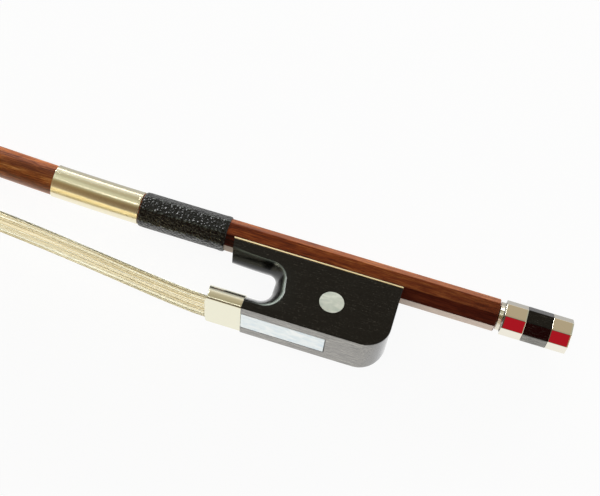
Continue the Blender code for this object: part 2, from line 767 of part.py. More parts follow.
def make_lining(bench):
    """Three-facet plate between the frog and the stick, cut flush with the frog's sides."""
    outer = HANDLE_FLATS + 2.0 * (SLIDE_FIT + LINING_THICKNESS)
    plate = prism_along("frog_lining", octagon(outer), 0.0, FROG_LENGTH)
    lining = bench.place("frog_lining", plate, "gilt_brass", bench.frog_slide)
    sides = prism_along("sides", frog_section(), -DEEP_OVERCUT, FROG_LENGTH + DEEP_OVERCUT)
    sides = bench.cutter("lining_sides", sides)
    boolean(lining, sides, "INTERSECT")
    stick_room = octagon(HANDLE_FLATS + 2.0 * SLIDE_FIT)
    inner = prism_along("stick_room", stick_room, -DEEP_OVERCUT, FROG_LENGTH + DEEP_OVERCUT)
    low = (EYELET_X, -SHANK_HOLE_DEPTH, 0.0)
    hole = rod("shank_hole", low, (EYELET_X, DEEP_OVERCUT, 0.0), EYELET_SHANK_DIAMETER + 2.0 * GAP)
    low_y, high_y = -HANDLE_FLATS, HANDLE_FLATS / 2.0
    start_x = -HANDLE_FLATS
    edge = [((LINING_EDGE_Y - y) * LINING_RAKE, y) for y in (low_y, high_y)]
    outline = [(start_x, low_y), *edge, (start_x, high_y)]
    front = prism_across("lining_rake", outline, HANDLE_FLATS)
    upper = box("upper_half", (-0.003, -0.0015, -0.010), (FROG_LENGTH + 0.003, 0.010, 0.010))
    cut(bench, lining, inner, upper, hole, front)
    for x in lining_screw_spots():
        cut(bench, lining, lining_screw_hole(x))


def make_lining_screws(bench):
    """Two small wood screws without their threads, their heads flush with the lining."""
    head_y = -HANDLE_FLATS / 2.0 - SLIDE_FIT - 0.0001
    neck_y = head_y - LINING_SCREW_LENGTH + LINING_SCREW_DIAMETER
    tip_y = head_y - LINING_SCREW_LENGTH
    half = LINING_SCREW_DIAMETER / 2.0
    profile = [(tip_y, half * 0.4), (neck_y, half), (head_y, half)]
    for x, name in zip(lining_screw_spots(), ("front", "rear")):
        rings = []
        for y, radius in profile:
            turns = [k * TURN / 12.0 for k in range(12)]
            rings.append([(x + radius * math.cos(a), y, radius * math.sin(a)) for a in turns])
        mesh = loft(f"lining_screw_{name}", rings)
        bench.place(f"lining_screw_{name}", mesh, "steel", bench.frog_slide, 30)


def make_eyelet(bench):
    """Brass nut: a block round the screw with a threaded shank down into the frog."""
    half = EYELET_LENGTH / 2.0
    crown = arc((EYELET_X, EYELET_HEAD_TOP_Y - half), half, 180.0, 0.0, 10)
    facet_sum = HANDLE_FLATS / 2.0 * (1.0 + math.tan(OCTANT / 2.0))
    foot_y = EYELET_WIDTH / 2.0 - facet_sum + 1.5 * GAP
    outline = [(EYELET_X + half, foot_y), (EYELET_X - half, foot_y), *crown]
    eyelet = bench.place(
        "eyelet", prism_across("eyelet", outline, EYELET_WIDTH / 2.0), "gilt_brass", bench.frog_slide, 30
    )
    shank_low = (EYELET_X, shank_bottom_y(), 0.0)
    shank = rod("shank", shank_low, (EYELET_X, foot_y + 0.0005, 0.0), EYELET_SHANK_DIAMETER)
    boolean(eyelet, bench.cutter("eyelet_shank", shank), "UNION")
    start = (EYELET_X - EYELET_LENGTH, 0.0, 0.0)
    thread = rod("thread", start, (EYELET_X + EYELET_LENGTH, 0.0, 0.0), SCREW_DIAMETER + 2.0 * GAP)
    cut(bench, eyelet, thread)


def make_slide(bench):
    """Pearl plate on its ebony dovetail, flush with the frog's underside behind the ferrule."""
    start_x = FERRULE_REAR_X + GAP
    low = FROG_BOTTOM_Y
    pearl_box = box(
        "pearl_slide",
        (start_x, low, -SLIDE_HALF_WIDTH),
        (SLIDE_REAR_X, low + PEARL_THICKNESS, SLIDE_HALF_WIDTH),
    )
    bench.place("pearl_slide", pearl_box, "pearl", bench.frog_slide)
    base_low = low + PEARL_THICKNESS + GAP
    base_high = base_low + SLIDE_BASE_THICKNESS
    wide = SLIDE_HALF_WIDTH + DOVETAIL
    narrow = SLIDE_HALF_WIDTH
    section = [(base_low, -narrow), (base_low, narrow), (base_high, wide), (base_high, -wide)]
    base = prism_along("slide_base", section, start_x, SLIDE_REAR_X)
    bench.place("slide_base", base, "ebony", bench.frog_slide)


def make_eyes(bench):
    for side, name in ((1, "near"), (-1, "far")):
        disc = eye_rod(f"pearl_eye_{name}", side, EYE_DIAMETER, EYE_THICKNESS, 0.0)
        bench.place(f"pearl_eye_{name}", disc, "pearl", bench.frog_slide, 30)


def head_exit_y():
    """Middle of the hair where it lies on the tip plate's rear rim."""
    plate_low = HEAD_FACE_Y - 2.0 * GAP - TIP_LINER_THICKNESS - TIP_PLATE_THICKNESS
    return plate_low - GAP - HAIR_THICKNESS / 2.0


def hair_line(x):
    """Middle of the slack hair between the ferrule and the head, bowed towards the stick."""
    along = FERRULE_FRONT_X - x
    span = FERRULE_FRONT_X - head_rear_x()
    settled = 1.0 - math.exp(-((span / HAIR_RISE_LENGTH) ** HAIR_RISE_POWER))
    rise = HAIR_RISE * (1.0 - math.exp(-((along / HAIR_RISE_LENGTH) ** HAIR_RISE_POWER)))
    fall = HAIR_RISE * settled * (along / span) ** 3
    chord = HAIR_EXIT_Y + (head_exit_y() - HAIR_EXIT_Y) * along / span
    return chord + rise - fall


def hair_half_width(x):
    """Half the ribbon's width, narrowing from the ferrule to the head, slowly at first."""
    t = min(max((FERRULE_FRONT_X - x) / (FERRULE_FRONT_X - head_rear_x()), 0.0), 1.0)
    return HAIR_HALF_WIDTH_FROG + (HAIR_HALF_WIDTH_HEAD - HAIR_HALF_WIDTH_FROG) * t**HAIR_TAPER_POWER


def hair_path():
    """Middle line and half width of the ribbon, from the frog's knot to the head's knot."""
    corner = 0.0002
    passage_y = hair_floor_y() + HAIR_THICKNESS / 2.0
    knot_x = KNOT_MORTISE_FRONT_X + GAP + HAIR_THICKNESS / 2.0
    inside = min(KNOT_MORTISE_HALF_WIDTH - GAP, HAIR_HALF_WIDTH_FROG)
    passage = SLIDE_HALF_WIDTH + DOVETAIL
    path = [
        (knot_x, knot_y("frog"), inside),
        (knot_x, passage_y + corner, inside),
        (knot_x - corner, passage_y, inside),
        (KNOT_MORTISE_FRONT_X - 0.004, passage_y, passage),
        (FERRULE_REAR_X, passage_y, passage),
        (FERRULE_REAR_X - 0.0070, HAIR_EXIT_Y, HAIR_HALF_WIDTH_FROG - 0.0004),
    ]
    for x in np.linspace(FERRULE_FRONT_X, head_rear_x(), 36):
        path.append((x, hair_line(x), hair_half_width(x)))
    head_knot_x = head_mortise_rear_x() - GAP - HAIR_THICKNESS / 2.0
    narrow = HEAD_MORTISE_HALF_WIDTH - GAP
    path.append((head_mortise_rear_x(), head_exit_y(), narrow))
    path.append((head_knot_x + corner, head_exit_y(), narrow))
    path.append((head_knot_x, head_exit_y() + corner, narrow))
    path.append((head_knot_x, knot_y("head"), narrow))
    return path


def knot_y(end):
    """Height at which the hair leaves its knot."""
    if end == "frog":
        return KNOT_MORTISE_TOP_Y - FROG_KNOT_ROOM - GAP
    return HEAD_FACE_Y + HEAD_MORTISE_DEPTH - HEAD_KNOT_ROOM - GAP


def make_hair(bench):
    """A flat ribbon of even thickness along the hair's path."""
    path = hair_path()
    points = [np.array(p[:2]) for p in path]
    rings = []
    for k, (x, y, half_width) in enumerate(path):
        ahead = points[min(k + 1, len(points) - 1)] - points[k]
        behind = points[k] - points[max(k - 1, 0)]
        along = [v / np.linalg.norm(v) for v in (ahead, behind) if np.linalg.norm(v) > 0.0]
        mean = sum(along) / len(along)
        mean /= np.linalg.norm(mean)
        mitre = HAIR_THICKNESS / 2.0 / max(abs(float(mean @ along[0])), 0.5)
        up = np.array((-mean[1], mean[0])) * mitre
        rings.append([
            (x + up[0], y + up[1], -half_width),
            (x + up[0], y + up[1], half_width),
            (x - up[0], y - up[1], half_width),
            (x - up[0], y - up[1], -half_width),
        ])
    bench.place("hair_ribbon", loft("hair_ribbon", rings), "horsehair", bench.datum)


def make_frog_plugs(bench):
    """The hair's bound knot, the wedge that holds it, and the wedge that spreads the hair."""
    front = KNOT_MORTISE_FRONT_X + GAP
    rear = KNOT_MORTISE_REAR_X - GAP
    half_width = KNOT_MORTISE_HALF_WIDTH - GAP
    top = KNOT_MORTISE_TOP_Y - GAP
    knot_low = top - FROG_KNOT_DIAMETER
    knot = rod("frog_hair_knot", (front + FROG_KNOT_INSET, (top + knot_low) / 2.0, -half_width),
               (front + FROG_KNOT_INSET, (top + knot_low) / 2.0, half_width), top - knot_low, sides=20)
    bench.place("frog_hair_knot", knot, "thread", bench.frog_slide, 30)
    wedge_front = front + HAIR_THICKNESS + GAP
    wedge_low = hair_floor_y()
    outline = [
        (wedge_front, wedge_low),
        (rear, wedge_low),
        (rear, knot_low - GAP),
        (wedge_front, knot_low - GAP),
    ]
    bench.place("frog_wedge", prism_across("frog_wedge", outline, half_width), "maple", bench.frog_slide)
    spread_low = HAIR_EXIT_Y + HAIR_THICKNESS / 2.0 + GAP
    spread_top = hair_floor_y() + HAIR_THICKNESS
    start_x = FERRULE_FRONT_X + SPREAD_INSET
    outline = [
        (start_x, spread_low),
        (start_x + SPREAD_LENGTH, spread_low),
        (start_x + SPREAD_LENGTH, spread_low + SPREAD_REAR_THICKNESS),
        (start_x + SPREAD_SLOPE_START, spread_top - GAP),
        (start_x, spread_top),
    ]
    half_width = FERRULE_HALF_WIDTH - FERRULE_WALL - SPREAD_SIDE_ROOM
    bench.place("spread_wedge", prism_across("spread_wedge", outline, half_width), "maple", bench.frog_slide)


def make_head_plugs(bench):
    """The hair's knot in the head and the wooden plug that holds it."""
    rear = head_mortise_rear_x()
    half_width = HEAD_MORTISE_HALF_WIDTH - GAP
    top = HEAD_FACE_Y + HEAD_MORTISE_DEPTH - GAP
    knot_low = top - HEAD_KNOT_DIAMETER
    knot_x = rear - GAP - HEAD_KNOT_INSET
    knot = rod("head_hair_knot", (knot_x, (top + knot_low) / 2.0, -half_width),
               (knot_x, (top + knot_low) / 2.0, half_width), top - knot_low, sides=20)
    bench.place("head_hair_knot", knot, "thread", bench.datum, 30)
    wedge_rear = rear - HAIR_THICKNESS - 2.0 * GAP
    wedge_low = HEAD_FACE_Y - 2.0 * GAP - TIP_LINER_THICKNESS - TIP_PLATE_THICKNESS * 0.6
    outline = [
        (rear - HEAD_MORTISE_LENGTH + GAP, wedge_low),
        (wedge_rear, wedge_low),
        (wedge_rear, knot_low - GAP),
        (rear - HEAD_MORTISE_LENGTH + GAP, knot_low - GAP),
    ]
    bench.place("head_wedge", prism_across("head_wedge", outline, half_width), "maple", bench.datum)


def button_start_x():
    return HANDLE_END_X + BUTTON_GAP


def band_start_x():
    return button_start_x() + COLLAR_LENGTH


def turned_ring(name, profile, sides=32):
    """A closed profile of (x, radius) points turned about the screw's axis."""
    angles = [k * TURN / sides for k in range(sides)]
    bm = bmesh.new()
    rows = [[bm.verts.new((x, r * math.cos(a), r * math.sin(a))) for a in angles] for x, r in profile]
    for row, following in zip(rows, rows[1:] + rows[:1]):
        for k in range(sides):
            after = (k + 1) % sides
            bm.faces.new((row[k], row[after], following[after], following[k]))
    return mesh_from_bmesh(name, bm)


def collar_profile():
    """Two beads and a fillet between them, bored for the stick's nipple."""
    start, length = button_start_x(), COLLAR_LENGTH - GAP
    bore = NIPPLE_DIAMETER / 2.0 + GAP
    body = HANDLE_FLATS / 2.0 - 0.0009
    bead = length * 0.25
    outer = []
    for centre in (0.22, 0.72):
        middle = start + length * centre
        for angle in np.radians(np.linspace(180.0, 0.0, 6)):
            outer.append((middle + bead * 0.8 * math.cos(angle), body + bead * math.sin(angle)))
    return [(start, bore), (start, body), *outer, (start + length, body), (start + length, bore)]


def button_octagon(x, flats):
    """Octagonal ring of the button, turned a little against the handle's."""
    return stick_ring(x, flats / 2.0, 1.0, 0.0, BUTTON_TURN)


def band_mesh(name, start_x, end_x, soften_start, soften_end):
    """Octagonal band with a soft arris at its outer edges, bored round for the core."""
    soft = 0.0003
    rings = []
    rings.append(button_octagon(start_x, BUTTON_FLATS - 2.0 * soft * soften_start))
    if soften_start:
        rings.append(button_octagon(start_x + soft, BUTTON_FLATS))
    if soften_end:
        rings.append(button_octagon(end_x - soft, BUTTON_FLATS))
    rings.append(button_octagon(end_x, BUTTON_FLATS - 2.0 * soft * soften_end))
    return loft(name, rings)


def make_button(bench):
    """Ebony core with two octagonal bands, on the screw and behind the beaded collar."""
    start = band_start_x()
    core_start = start + BAND_FRONT_LENGTH
    core_end = core_start + CORE_LENGTH
    end = core_end + BAND_REAR_LENGTH
    spigot = BUTTON_FLATS - 2.0 * BAND_WALL
    collar = turned_ring("button_collar", collar_profile())
    bench.place("button_collar", collar, "silver", bench.screw_axis, 40)
    front = bench.place(
        "button_front_band",
        band_mesh("front", start, core_start - GAP / 2.0, 1, 0),
        "silver",
        bench.screw_axis,
    )
    rear = bench.place(
        "button_rear_band", band_mesh("rear", core_end + GAP / 2.0, end, 0, 1), "silver", bench.screw_axis
    )
    bore = rod("bore", (start - OVERCUT, 0, 0), (core_start + OVERCUT, 0, 0), spigot + 2.0 * GAP, sides=32)
    cut(bench, front, bore)
    bore = rod("bore", (core_end - OVERCUT, 0, 0), (end + OVERCUT, 0, 0), spigot + 2.0 * GAP, sides=32)
    cut(bench, rear, bore)
    middle = loft("button_core", [button_octagon(x, BUTTON_FLATS) for x in (core_start, core_end)])
    core = bench.place("button_core", middle, "ebony", bench.screw_axis, 20)
    spigots = rod("spigots", (start + GAP, 0, 0), (end - SPIGOT_END_ROOM, 0, 0), spigot, sides=32)
    boolean(core, bench.cutter("core_spigots", spigots), "UNION")
    room_width = SCREW_DIAMETER + 2.0 * GAP
    room = rod("screw_room", (start - OVERCUT, 0, 0), (screw_rear_x() + GAP, 0, 0), room_width)
    nipple_width = NIPPLE_DIAMETER + 2.0 * GAP
    nipple = rod("nipple_room", (start - OVERCUT, 0, 0), (start + NIPPLE_ROOM_LENGTH, 0, 0), nipple_width)
    cut(bench, core, room, nipple)


def screw_rear_x():
    return band_start_x() + BAND_FRONT_LENGTH + CORE_LENGTH


def make_screw(bench):
    """Steel screw from its pilot hole through the eyelet into the button."""
    shaft = rod("screw_shaft", (screw_front_x(), 0, 0), (screw_rear_x(), 0, 0), SCREW_DIAMETER, sides=20)
    bench.place("screw_shaft", shaft, "steel", bench.screw_axis, 30)


def roll_angle():
    """Roll at which the frog's lower edge and the leather lie on one level."""
    wrap = HANDLE_FLATS / 2.0 + WRAP_GAP + LEATHER_THICKNESS
    reach = math.hypot(FROG_BOTTOM_HALF_WIDTH, FROG_BOTTOM_Y)
    lean = math.atan2(FROG_BOTTOM_HALF_WIDTH, -FROG_BOTTOM_Y)
    return math.asin(wrap / reach) - lean


def lay_on_table(bench):
    """Roll the bow on to its side, then centre its box over the zero point at z = 0."""
    bench.datum.rotation_euler.x = roll_angle()
    bpy.context.view_layer.update()
    graph = bpy.context.evaluated_depsgraph_get()
    corners = []
    for obj in bench.parts.objects:
        if obj.type == "MESH":
            mesh = obj.evaluated_get(graph).data
            flat = np.empty(len(mesh.vertices) * 3)
            mesh.vertices.foreach_get("co", flat)
            turn = np.array(obj.matrix_world)
            corners.append(flat.reshape(-1, 3) @ turn[:3, :3].T + turn[:3, 3])
    corners = np.concatenate(corners)
    low, high = corners.min(axis=0), corners.max(axis=0)
    middle = (low + high) / 2.0
    bench.datum.location = (-middle[0], -middle[1], -low[2])
    bpy.context.view_layer.update()


def main():
    clear_scene()
    bench = Bench()
    make_stick(bench)
    make_grip(bench)
    make_head_plates(bench)
    make_head_plugs(bench)
    make_hair(bench)
    make_frog(bench)
    make_lining(bench)
    make_lining_screws(bench)
    make_eyelet(bench)
    make_ferrule(bench)
    make_slide(bench)
    make_eyes(bench)
    make_frog_plugs(bench)
    make_screw(bench)
    make_button(bench)
    lay_on_table(bench)


main()
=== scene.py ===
"""Looks of a French-pattern double bass bow that lies on its side on a white table.

The bow's own axes are x along the handle towards the button, y from the hair to
the stick and z across. Every shape below is worked out in them, in metres, and
put on the table by one roll and one shift, as the solids are.
"""

import math

import bmesh
import bpy
import numpy as np
from mathutils import Matrix, Vector


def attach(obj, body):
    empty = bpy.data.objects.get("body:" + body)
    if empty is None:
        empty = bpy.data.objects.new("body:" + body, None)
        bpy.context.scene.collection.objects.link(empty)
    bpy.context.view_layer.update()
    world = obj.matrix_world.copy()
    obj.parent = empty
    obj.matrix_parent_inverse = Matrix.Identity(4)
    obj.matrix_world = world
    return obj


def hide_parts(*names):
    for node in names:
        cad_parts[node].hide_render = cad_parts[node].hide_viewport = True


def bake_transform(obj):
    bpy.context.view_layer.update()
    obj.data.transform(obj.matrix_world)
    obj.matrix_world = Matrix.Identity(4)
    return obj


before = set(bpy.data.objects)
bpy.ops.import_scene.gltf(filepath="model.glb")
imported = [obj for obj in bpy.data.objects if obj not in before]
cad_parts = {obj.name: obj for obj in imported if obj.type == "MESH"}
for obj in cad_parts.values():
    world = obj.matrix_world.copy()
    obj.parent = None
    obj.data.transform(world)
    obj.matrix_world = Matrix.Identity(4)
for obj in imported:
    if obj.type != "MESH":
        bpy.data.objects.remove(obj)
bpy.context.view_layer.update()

TURN = 2.0 * math.pi
OCTANT = TURN / 8.0
QUARTER = TURN / 4.0
COLUMNS = 96

# The bow's place on the table
ROLL = math.radians(-9.4204011)
ZERO = np.array((0.233879, 0.011861, 0.006517))

# Stick
TIP_X = -0.5936
HANDLE_END_X = 0.0990
HANDLE_FLATS = 0.01115
STICK_DIAMETER = 0.0112
NECK_DIAMETER = 0.0087
ROUND_FROM_X = -0.0325
ROUND_TO_X = -0.037167
BEND_START_X = -0.0320
RISE_LENGTH = 0.117
RISE_HEIGHT = 0.0032
CAMBER_LENGTH = 0.220
CAMBER_HEIGHT = -0.0050
NECK_HEIGHT = 0.0020
NECK_SLOPE = 0.045
HEAD_LENGTH = 0.052
HEAD_FACE_Y = -0.0258
HEAD_FACE_LENGTH = 0.0330
HEAD_FACE_HALF_WIDTH = 0.0068
HEAD_MORTISE_INSET = 0.0040
TIP_LINER_THICKNESS = 0.0005
TIP_LINER_SOFT_EDGE = 0.00005
TIP_PLATE_THICKNESS = 0.0011
TIP_PLATE_SOFT_EDGE = 0.0002
NECK_X = TIP_X + HEAD_LENGTH
HEAD_REAR_X = TIP_X + HEAD_FACE_LENGTH
GAP = 0.0003
HANDLE_CHAMFER = 0.0003
HANDLE_CRISPNESS = 70.0
TAPER_POWER = 1.2

# Frog and its throat, at the waist in the middle and at the rim on the sides
FROG_LENGTH = 0.0640
FROG_BOTTOM_Y = -0.0308
FROG_BOTTOM_HALF_WIDTH = 0.0114
HEEL_RADIUS = 0.0096
TONGUE_RAKE = 0.0021
CHANNEL_FLATS = 0.01275
FLARE_TOP_Y = -HANDLE_FLATS / 2.0 * math.tan(OCTANT / 2.0)
FLARE_SLOPE = (FROG_BOTTOM_HALF_WIDTH - HANDLE_FLATS / 2.0) / (FLARE_TOP_Y - FROG_BOTTOM_Y)
FROG_TOP_Y = -0.00325
THROAT_END_X = 0.0196
THROAT_TOP_Y = -0.0100
THROAT_FLOOR_Y = -0.0223
THROAT_TOP_RADIUS = 0.0038
THROAT_FLOOR_RADIUS = 0.0045
RIM_END_X = 0.0236
RIM_TOP_Y = -0.0059
RIM_FLOOR_Y = -0.0255
RIM_TOP_RADIUS = 0.0070
RIM_FLOOR_RADIUS = 0.0073
RIM_POWER = 1.8
ROOF_DROOP = 0.0004
RIM_DROOP = 0.0019
SLIDE_REAR_X = 0.0429
SLIDE_HALF_WIDTH = 0.0059
PEARL_THICKNESS = 0.0010
PEARL_CLEARANCE = 0.0001
PEARL_PROUD = 0.00002
PEARL_SOFT_EDGE = 0.00012
SCREW_FRONT_X = 0.0120
SCREW_REAR_X = 0.0520
EYE_X = 0.0413
EYE_Y = -0.0176
EYE_RADIUS = 0.0045

# Shares of the way round the frog's side view: the throat's roof, shoulder, end wall and foot
# end at these, and so do the frog's top, rear and heel
ROOF_END, SHOULDER_END, WALL_END, FOOT_END = 0.30, 0.56, 0.62, 0.82
TOP_END, REAR_END, HEEL_END = 0.38, 0.51, 0.75

# Ferrule
FERRULE_FRONT_X = -0.0015
FERRULE_REAR_X = 0.0119
FERRULE_HALF_WIDTH = 0.0110
FERRULE_WALL = 0.0006
FERRULE_CORNER = 0.0010
FERRULE_INNER_CORNER = 0.0004
FERRULE_SIDE = 0.0015
FERRULE_FRONT_ROUND = 0.0008
FERRULE_ROUND_FROM = 0.60
FERRULE_LIP = 0.00014
FERRULE_BORE_RING = 0.004

# Button
NIPPLE_DIAMETER = 0.0070
NIPPLE_LENGTH = 0.0017
NIPPLE_CAP_RADIUS = 0.0022
COLLAR_START_X = HANDLE_END_X + GAP
COLLAR_LENGTH = 0.0019
COLLAR_STEP = 0.0006
COLLAR_BEADS = (0.17, 0.5, 0.83)
COLLAR_BEAD_SHARE = 0.15
BAND_FRONT_LENGTH = 0.0080
CORE_LENGTH = 0.0091
BAND_REAR_LENGTH = 0.0074
BUTTON_FLATS = 0.0119
BUTTON_TURN = math.radians(-5.0)
BAND_WALL = 0.0008
BAND_FIT = 0.0003
BAND_LIP = 0.00012
BUTTON_CRISPNESS = 150.0
BUTTON_COLUMNS = 192
CORE_INSET = 0.0004
CORE_CAP_RADIUS = 0.0005

# Grip
LEATHER_REAR_X = -0.0026
LEATHER_FRONT_X = -0.0356
LEATHER_THICKNESS = 0.00048
LEATHER_FACETS = 0.9
LEATHER_CRISPNESS = 26.0
WINDING_REAR_X = -0.0360
WINDING_FRONT_X = -0.0697
WINDING_THICKNESS = 0.0003
WINDING_MIDDLE = 0.85
WRAP_GAP = 0.00015
WIRE_PITCH = 0.0003
WIRE_RIDGE = 0.0000035
WINDING_BAND_HEIGHT = 0.00004
WINDING_BAND_LENGTH = 0.0008
WINDING_ROUND = 0.00012

# Hair
HAIR_EXIT_Y = -0.0295
HAIR_RISE = 0.0125
HAIR_RISE_LENGTH = 0.078
HAIR_RISE_POWER = 1.45
HAIR_THICKNESS = 0.0012
HAIR_HALF_WIDTH_FROG = 0.0092
HAIR_TAPER_POWER = 1.6
HAIR_HALF_WIDTH_HEAD = 0.0056
STRAND_RADII = (0.00009, 0.00014)


# Meshes

def on_table(points):
    """Points in the bow's axes, rolled about its length and shifted to its place."""
    c, s = math.cos(ROLL), math.sin(ROLL)
    turn = np.array(((1.0, 0.0, 0.0), (0.0, c, -s), (0.0, s, c)))
    return np.asarray(points, float) @ turn.T + ZERO


def finish_piece(mesh, material, body, stands_for, angle):
    """Weld the mesh, turn its faces outwards, shade it and let it ride on its body."""
    bm = bmesh.new()
    bm.from_mesh(mesh)
    bmesh.ops.remove_doubles(bm, verts=bm.verts, dist=1e-7)
    bmesh.ops.recalc_face_normals(bm, faces=bm.faces)
    bm.to_mesh(mesh)
    bm.free()
    mesh.shade_smooth()
    mesh.set_sharp_from_angle(angle=math.radians(angle))
    mesh.materials.append(material)
    obj = bpy.data.objects.new(mesh.name, mesh)
    bpy.context.scene.collection.objects.link(obj)
    if stands_for:
        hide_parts(*stands_for)
    if body:
        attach(obj, body)
    return obj


def surface(name, grid, material, body, stands_for=(), loop=False, caps=False, angle=32.0, painted_highlight=None):
    """A grid of points skinned with quads: rows along the piece, columns round it. The last
    column joins the first, loop joins the last row to the first, and caps fill the two end
    rows. An optional array gives how much painted highlight each point gets."""
    rows, columns = grid.shape[:2]
    index = np.arange(rows * columns).reshape(rows, columns)
    index = np.concatenate((index, index[:, :1]), axis=1)
    if loop:
        index = np.concatenate((index, index[:1]), axis=0)
    quads = np.stack((index[:-1, :-1], index[:-1, 1:], index[1:, 1:], index[1:, :-1]), axis=-1)
    faces = quads.reshape(-1, 4).tolist()
    if caps:
        faces.append(index[0, :columns].tolist())
        faces.append(index[rows - 1, :columns].tolist())
    mesh = bpy.data.meshes.new(name)
    mesh.from_pydata(on_table(grid).reshape(-1, 3).tolist(), [], faces)
    # How much painted highlight each point gets
    if painted_highlight is not None:
        mesh.attributes.new("painted_highlight", "FLOAT", "POINT").data.foreach_set("value", painted_highlight.ravel())
    return finish_piece(mesh, material, body, stands_for, angle)


def slab(name, low, high, soft, material, body, stands_for=()):
    """A box between two corners with its edges softened by a bevel."""
    low, high = np.array(low), np.array(high)
    pick = np.array([(i, j, k) for i in (0, 1) for j in (0, 1) for k in (0, 1)])
    corners = low + pick * (high - low)
    faces = [(0, 1, 3, 2), (4, 6, 7, 5), (0, 4, 5, 1), (2, 3, 7, 6), (0, 2, 6, 4), (1, 5, 7, 3)]
    mesh = bpy.data.meshes.new(name)
    mesh.from_pydata(on_table(corners).tolist(), [], faces)
    obj = finish_piece(mesh, material, body, stands_for, 40.0)
    bevel = obj.modifiers.new("soft_edges", "BEVEL")
    bevel.width = soft
    bevel.segments = 3
    return obj


def smoothstep(t):
    """An even ease from 0 to 1: three t squared less two t cubed, with t held between them."""
    t = np.clip(t, 0.0, 1.0)
    return t * t * (3.0 - 2.0 * t)


def share_of(value, start, end):
    """How far a value has come from start to end, held between 0 and 1."""
    return np.clip((value - start) / (end - start), 0.0, 1.0)


def ring_angles(columns):
    """The angles of a ring's columns, spaced evenly once round."""
    return np.arange(columns) * TURN / columns


def octagon_reach(angle, crisp):
    """Distance from centre to edge of an octagon with soft corners: the power mean of the
    eight flats' cosines, where a higher power gives a crisper corner."""
    flats = np.arange(8) * OCTANT
    cosines = np.maximum(np.cos(angle[..., None] - flats), 0.0)
    return (cosines**crisp).sum(axis=-1) ** (-1.0 / crisp)


def round_or_octagon(x, radius, facets, centre_y, columns, crisp=HANDLE_CRISPNESS, turn=0.0):
    """Rings round the bow's length: a circle, an octagon, or a mix of the two by facets."""
    angle = ring_angles(columns)
    rows = [np.atleast_1d(v) for v in (x, radius, facets, centre_y)]
    x, radius, facets, centre_y = np.broadcast_arrays(*rows)
    reach = radius[:, None] * (1.0 + facets[:, None] * (octagon_reach(angle, crisp) - 1.0))
    grid = np.empty((len(x), columns, 3))
    grid[..., 0] = x[:, None]
    grid[..., 1] = centre_y[:, None] + reach * np.cos(angle + turn)
    grid[..., 2] = reach * np.sin(angle + turn)
    return grid


# Stick

def stick_height(x):
    """Height of the stick's centre line: level handle, slow rise, camber towards the hair, and a
    cubic that meets the neck at its slope."""
    x = np.asarray(x, float)
    rise_x = BEND_START_X - RISE_LENGTH
    camber_x = rise_x - CAMBER_LENGTH
    span = camber_x - NECK_X
    rise = RISE_HEIGHT * smoothstep((BEND_START_X - x) / RISE_LENGTH)
    camber = RISE_HEIGHT + (CAMBER_HEIGHT - RISE_HEIGHT) * smoothstep((rise_x - x) / CAMBER_LENGTH)
    t = share_of(x, camber_x, NECK_X)
    neck = (2 * t**3 - 3 * t**2 + 1) * CAMBER_HEIGHT + (3 * t**2 - 2 * t**3) * NECK_HEIGHT
    neck = neck + (t**3 - t**2) * NECK_SLOPE * span
    return np.where(x >= rise_x, rise, np.where(x >= camber_x, camber, neck))


def stick_radius(x):
    """Half the stick's thickness: level on the handle, easing to round, then a slow taper by a
    power of the share of the way to the neck."""
    x = np.asarray(x, float)
    ease = smoothstep(share_of(x, ROUND_FROM_X, ROUND_TO_X))
    handle = (HANDLE_FLATS + (STICK_DIAMETER - HANDLE_FLATS) * ease) / 2.0
    t = share_of(x, ROUND_TO_X, NECK_X)
    shaft = (STICK_DIAMETER + (NECK_DIAMETER - STICK_DIAMETER) * t**TAPER_POWER) / 2.0
    return np.where(x >= ROUND_TO_X, handle, shaft)


def facet_weight(x):
    """1 on the octagonal handle, 0 where the stick is round."""
    return 1.0 - smoothstep(share_of(np.asarray(x, float), ROUND_FROM_X, ROUND_TO_X))


def curve(points, t):
    """A smooth curve between its first and last control point, by repeated mixing: each control
    point with the next in the proportion t, until one point is left."""
    t = np.asarray(t)[:, None]
    layer = [np.broadcast_to(np.array(p, float), (len(t), 2)) for p in points]
    while len(layer) > 1:
        layer = [(1.0 - t) * a + t * b for a, b in zip(layer, layer[1:])]
    return layer[0]


def head_edges(t):
    """Side view of the head: its crest from the stick over the nose to the beak, and its throat
    from under the stick down to the rear of the face. Their control points stand off the neck's
    end, the tip or the face by the amounts given here."""
    top = NECK_HEIGHT + NECK_DIAMETER / 2.0
    bottom = NECK_HEIGHT - NECK_DIAMETER / 2.0
    nose = (TIP_X + 0.0165, top + 0.0018)
    brow = (TIP_X + 0.0085, top - 0.0030)
    chin = (TIP_X + 0.0062, HEAD_FACE_Y + 0.0085)
    back = curve([(NECK_X, top), (NECK_X - 0.016, top + 0.0016), nose], share_of(t, 0.0, 0.5))
    front = curve([nose, brow, chin, (TIP_X, HEAD_FACE_Y)], share_of(t, 0.5, 1.0))
    crest = np.where(t[:, None] < 0.5, back, front)
    lead = (HEAD_REAR_X + 0.0035, bottom - 0.0002)
    hollow = (HEAD_REAR_X - 0.0058, bottom - 0.0010)
    drop = (HEAD_REAR_X - 0.0030, HEAD_FACE_Y + 0.0080)
    throat_line = curve([(NECK_X, bottom), lead, hollow, drop, (HEAD_REAR_X, HEAD_FACE_Y)], t)
    return crest, throat_line


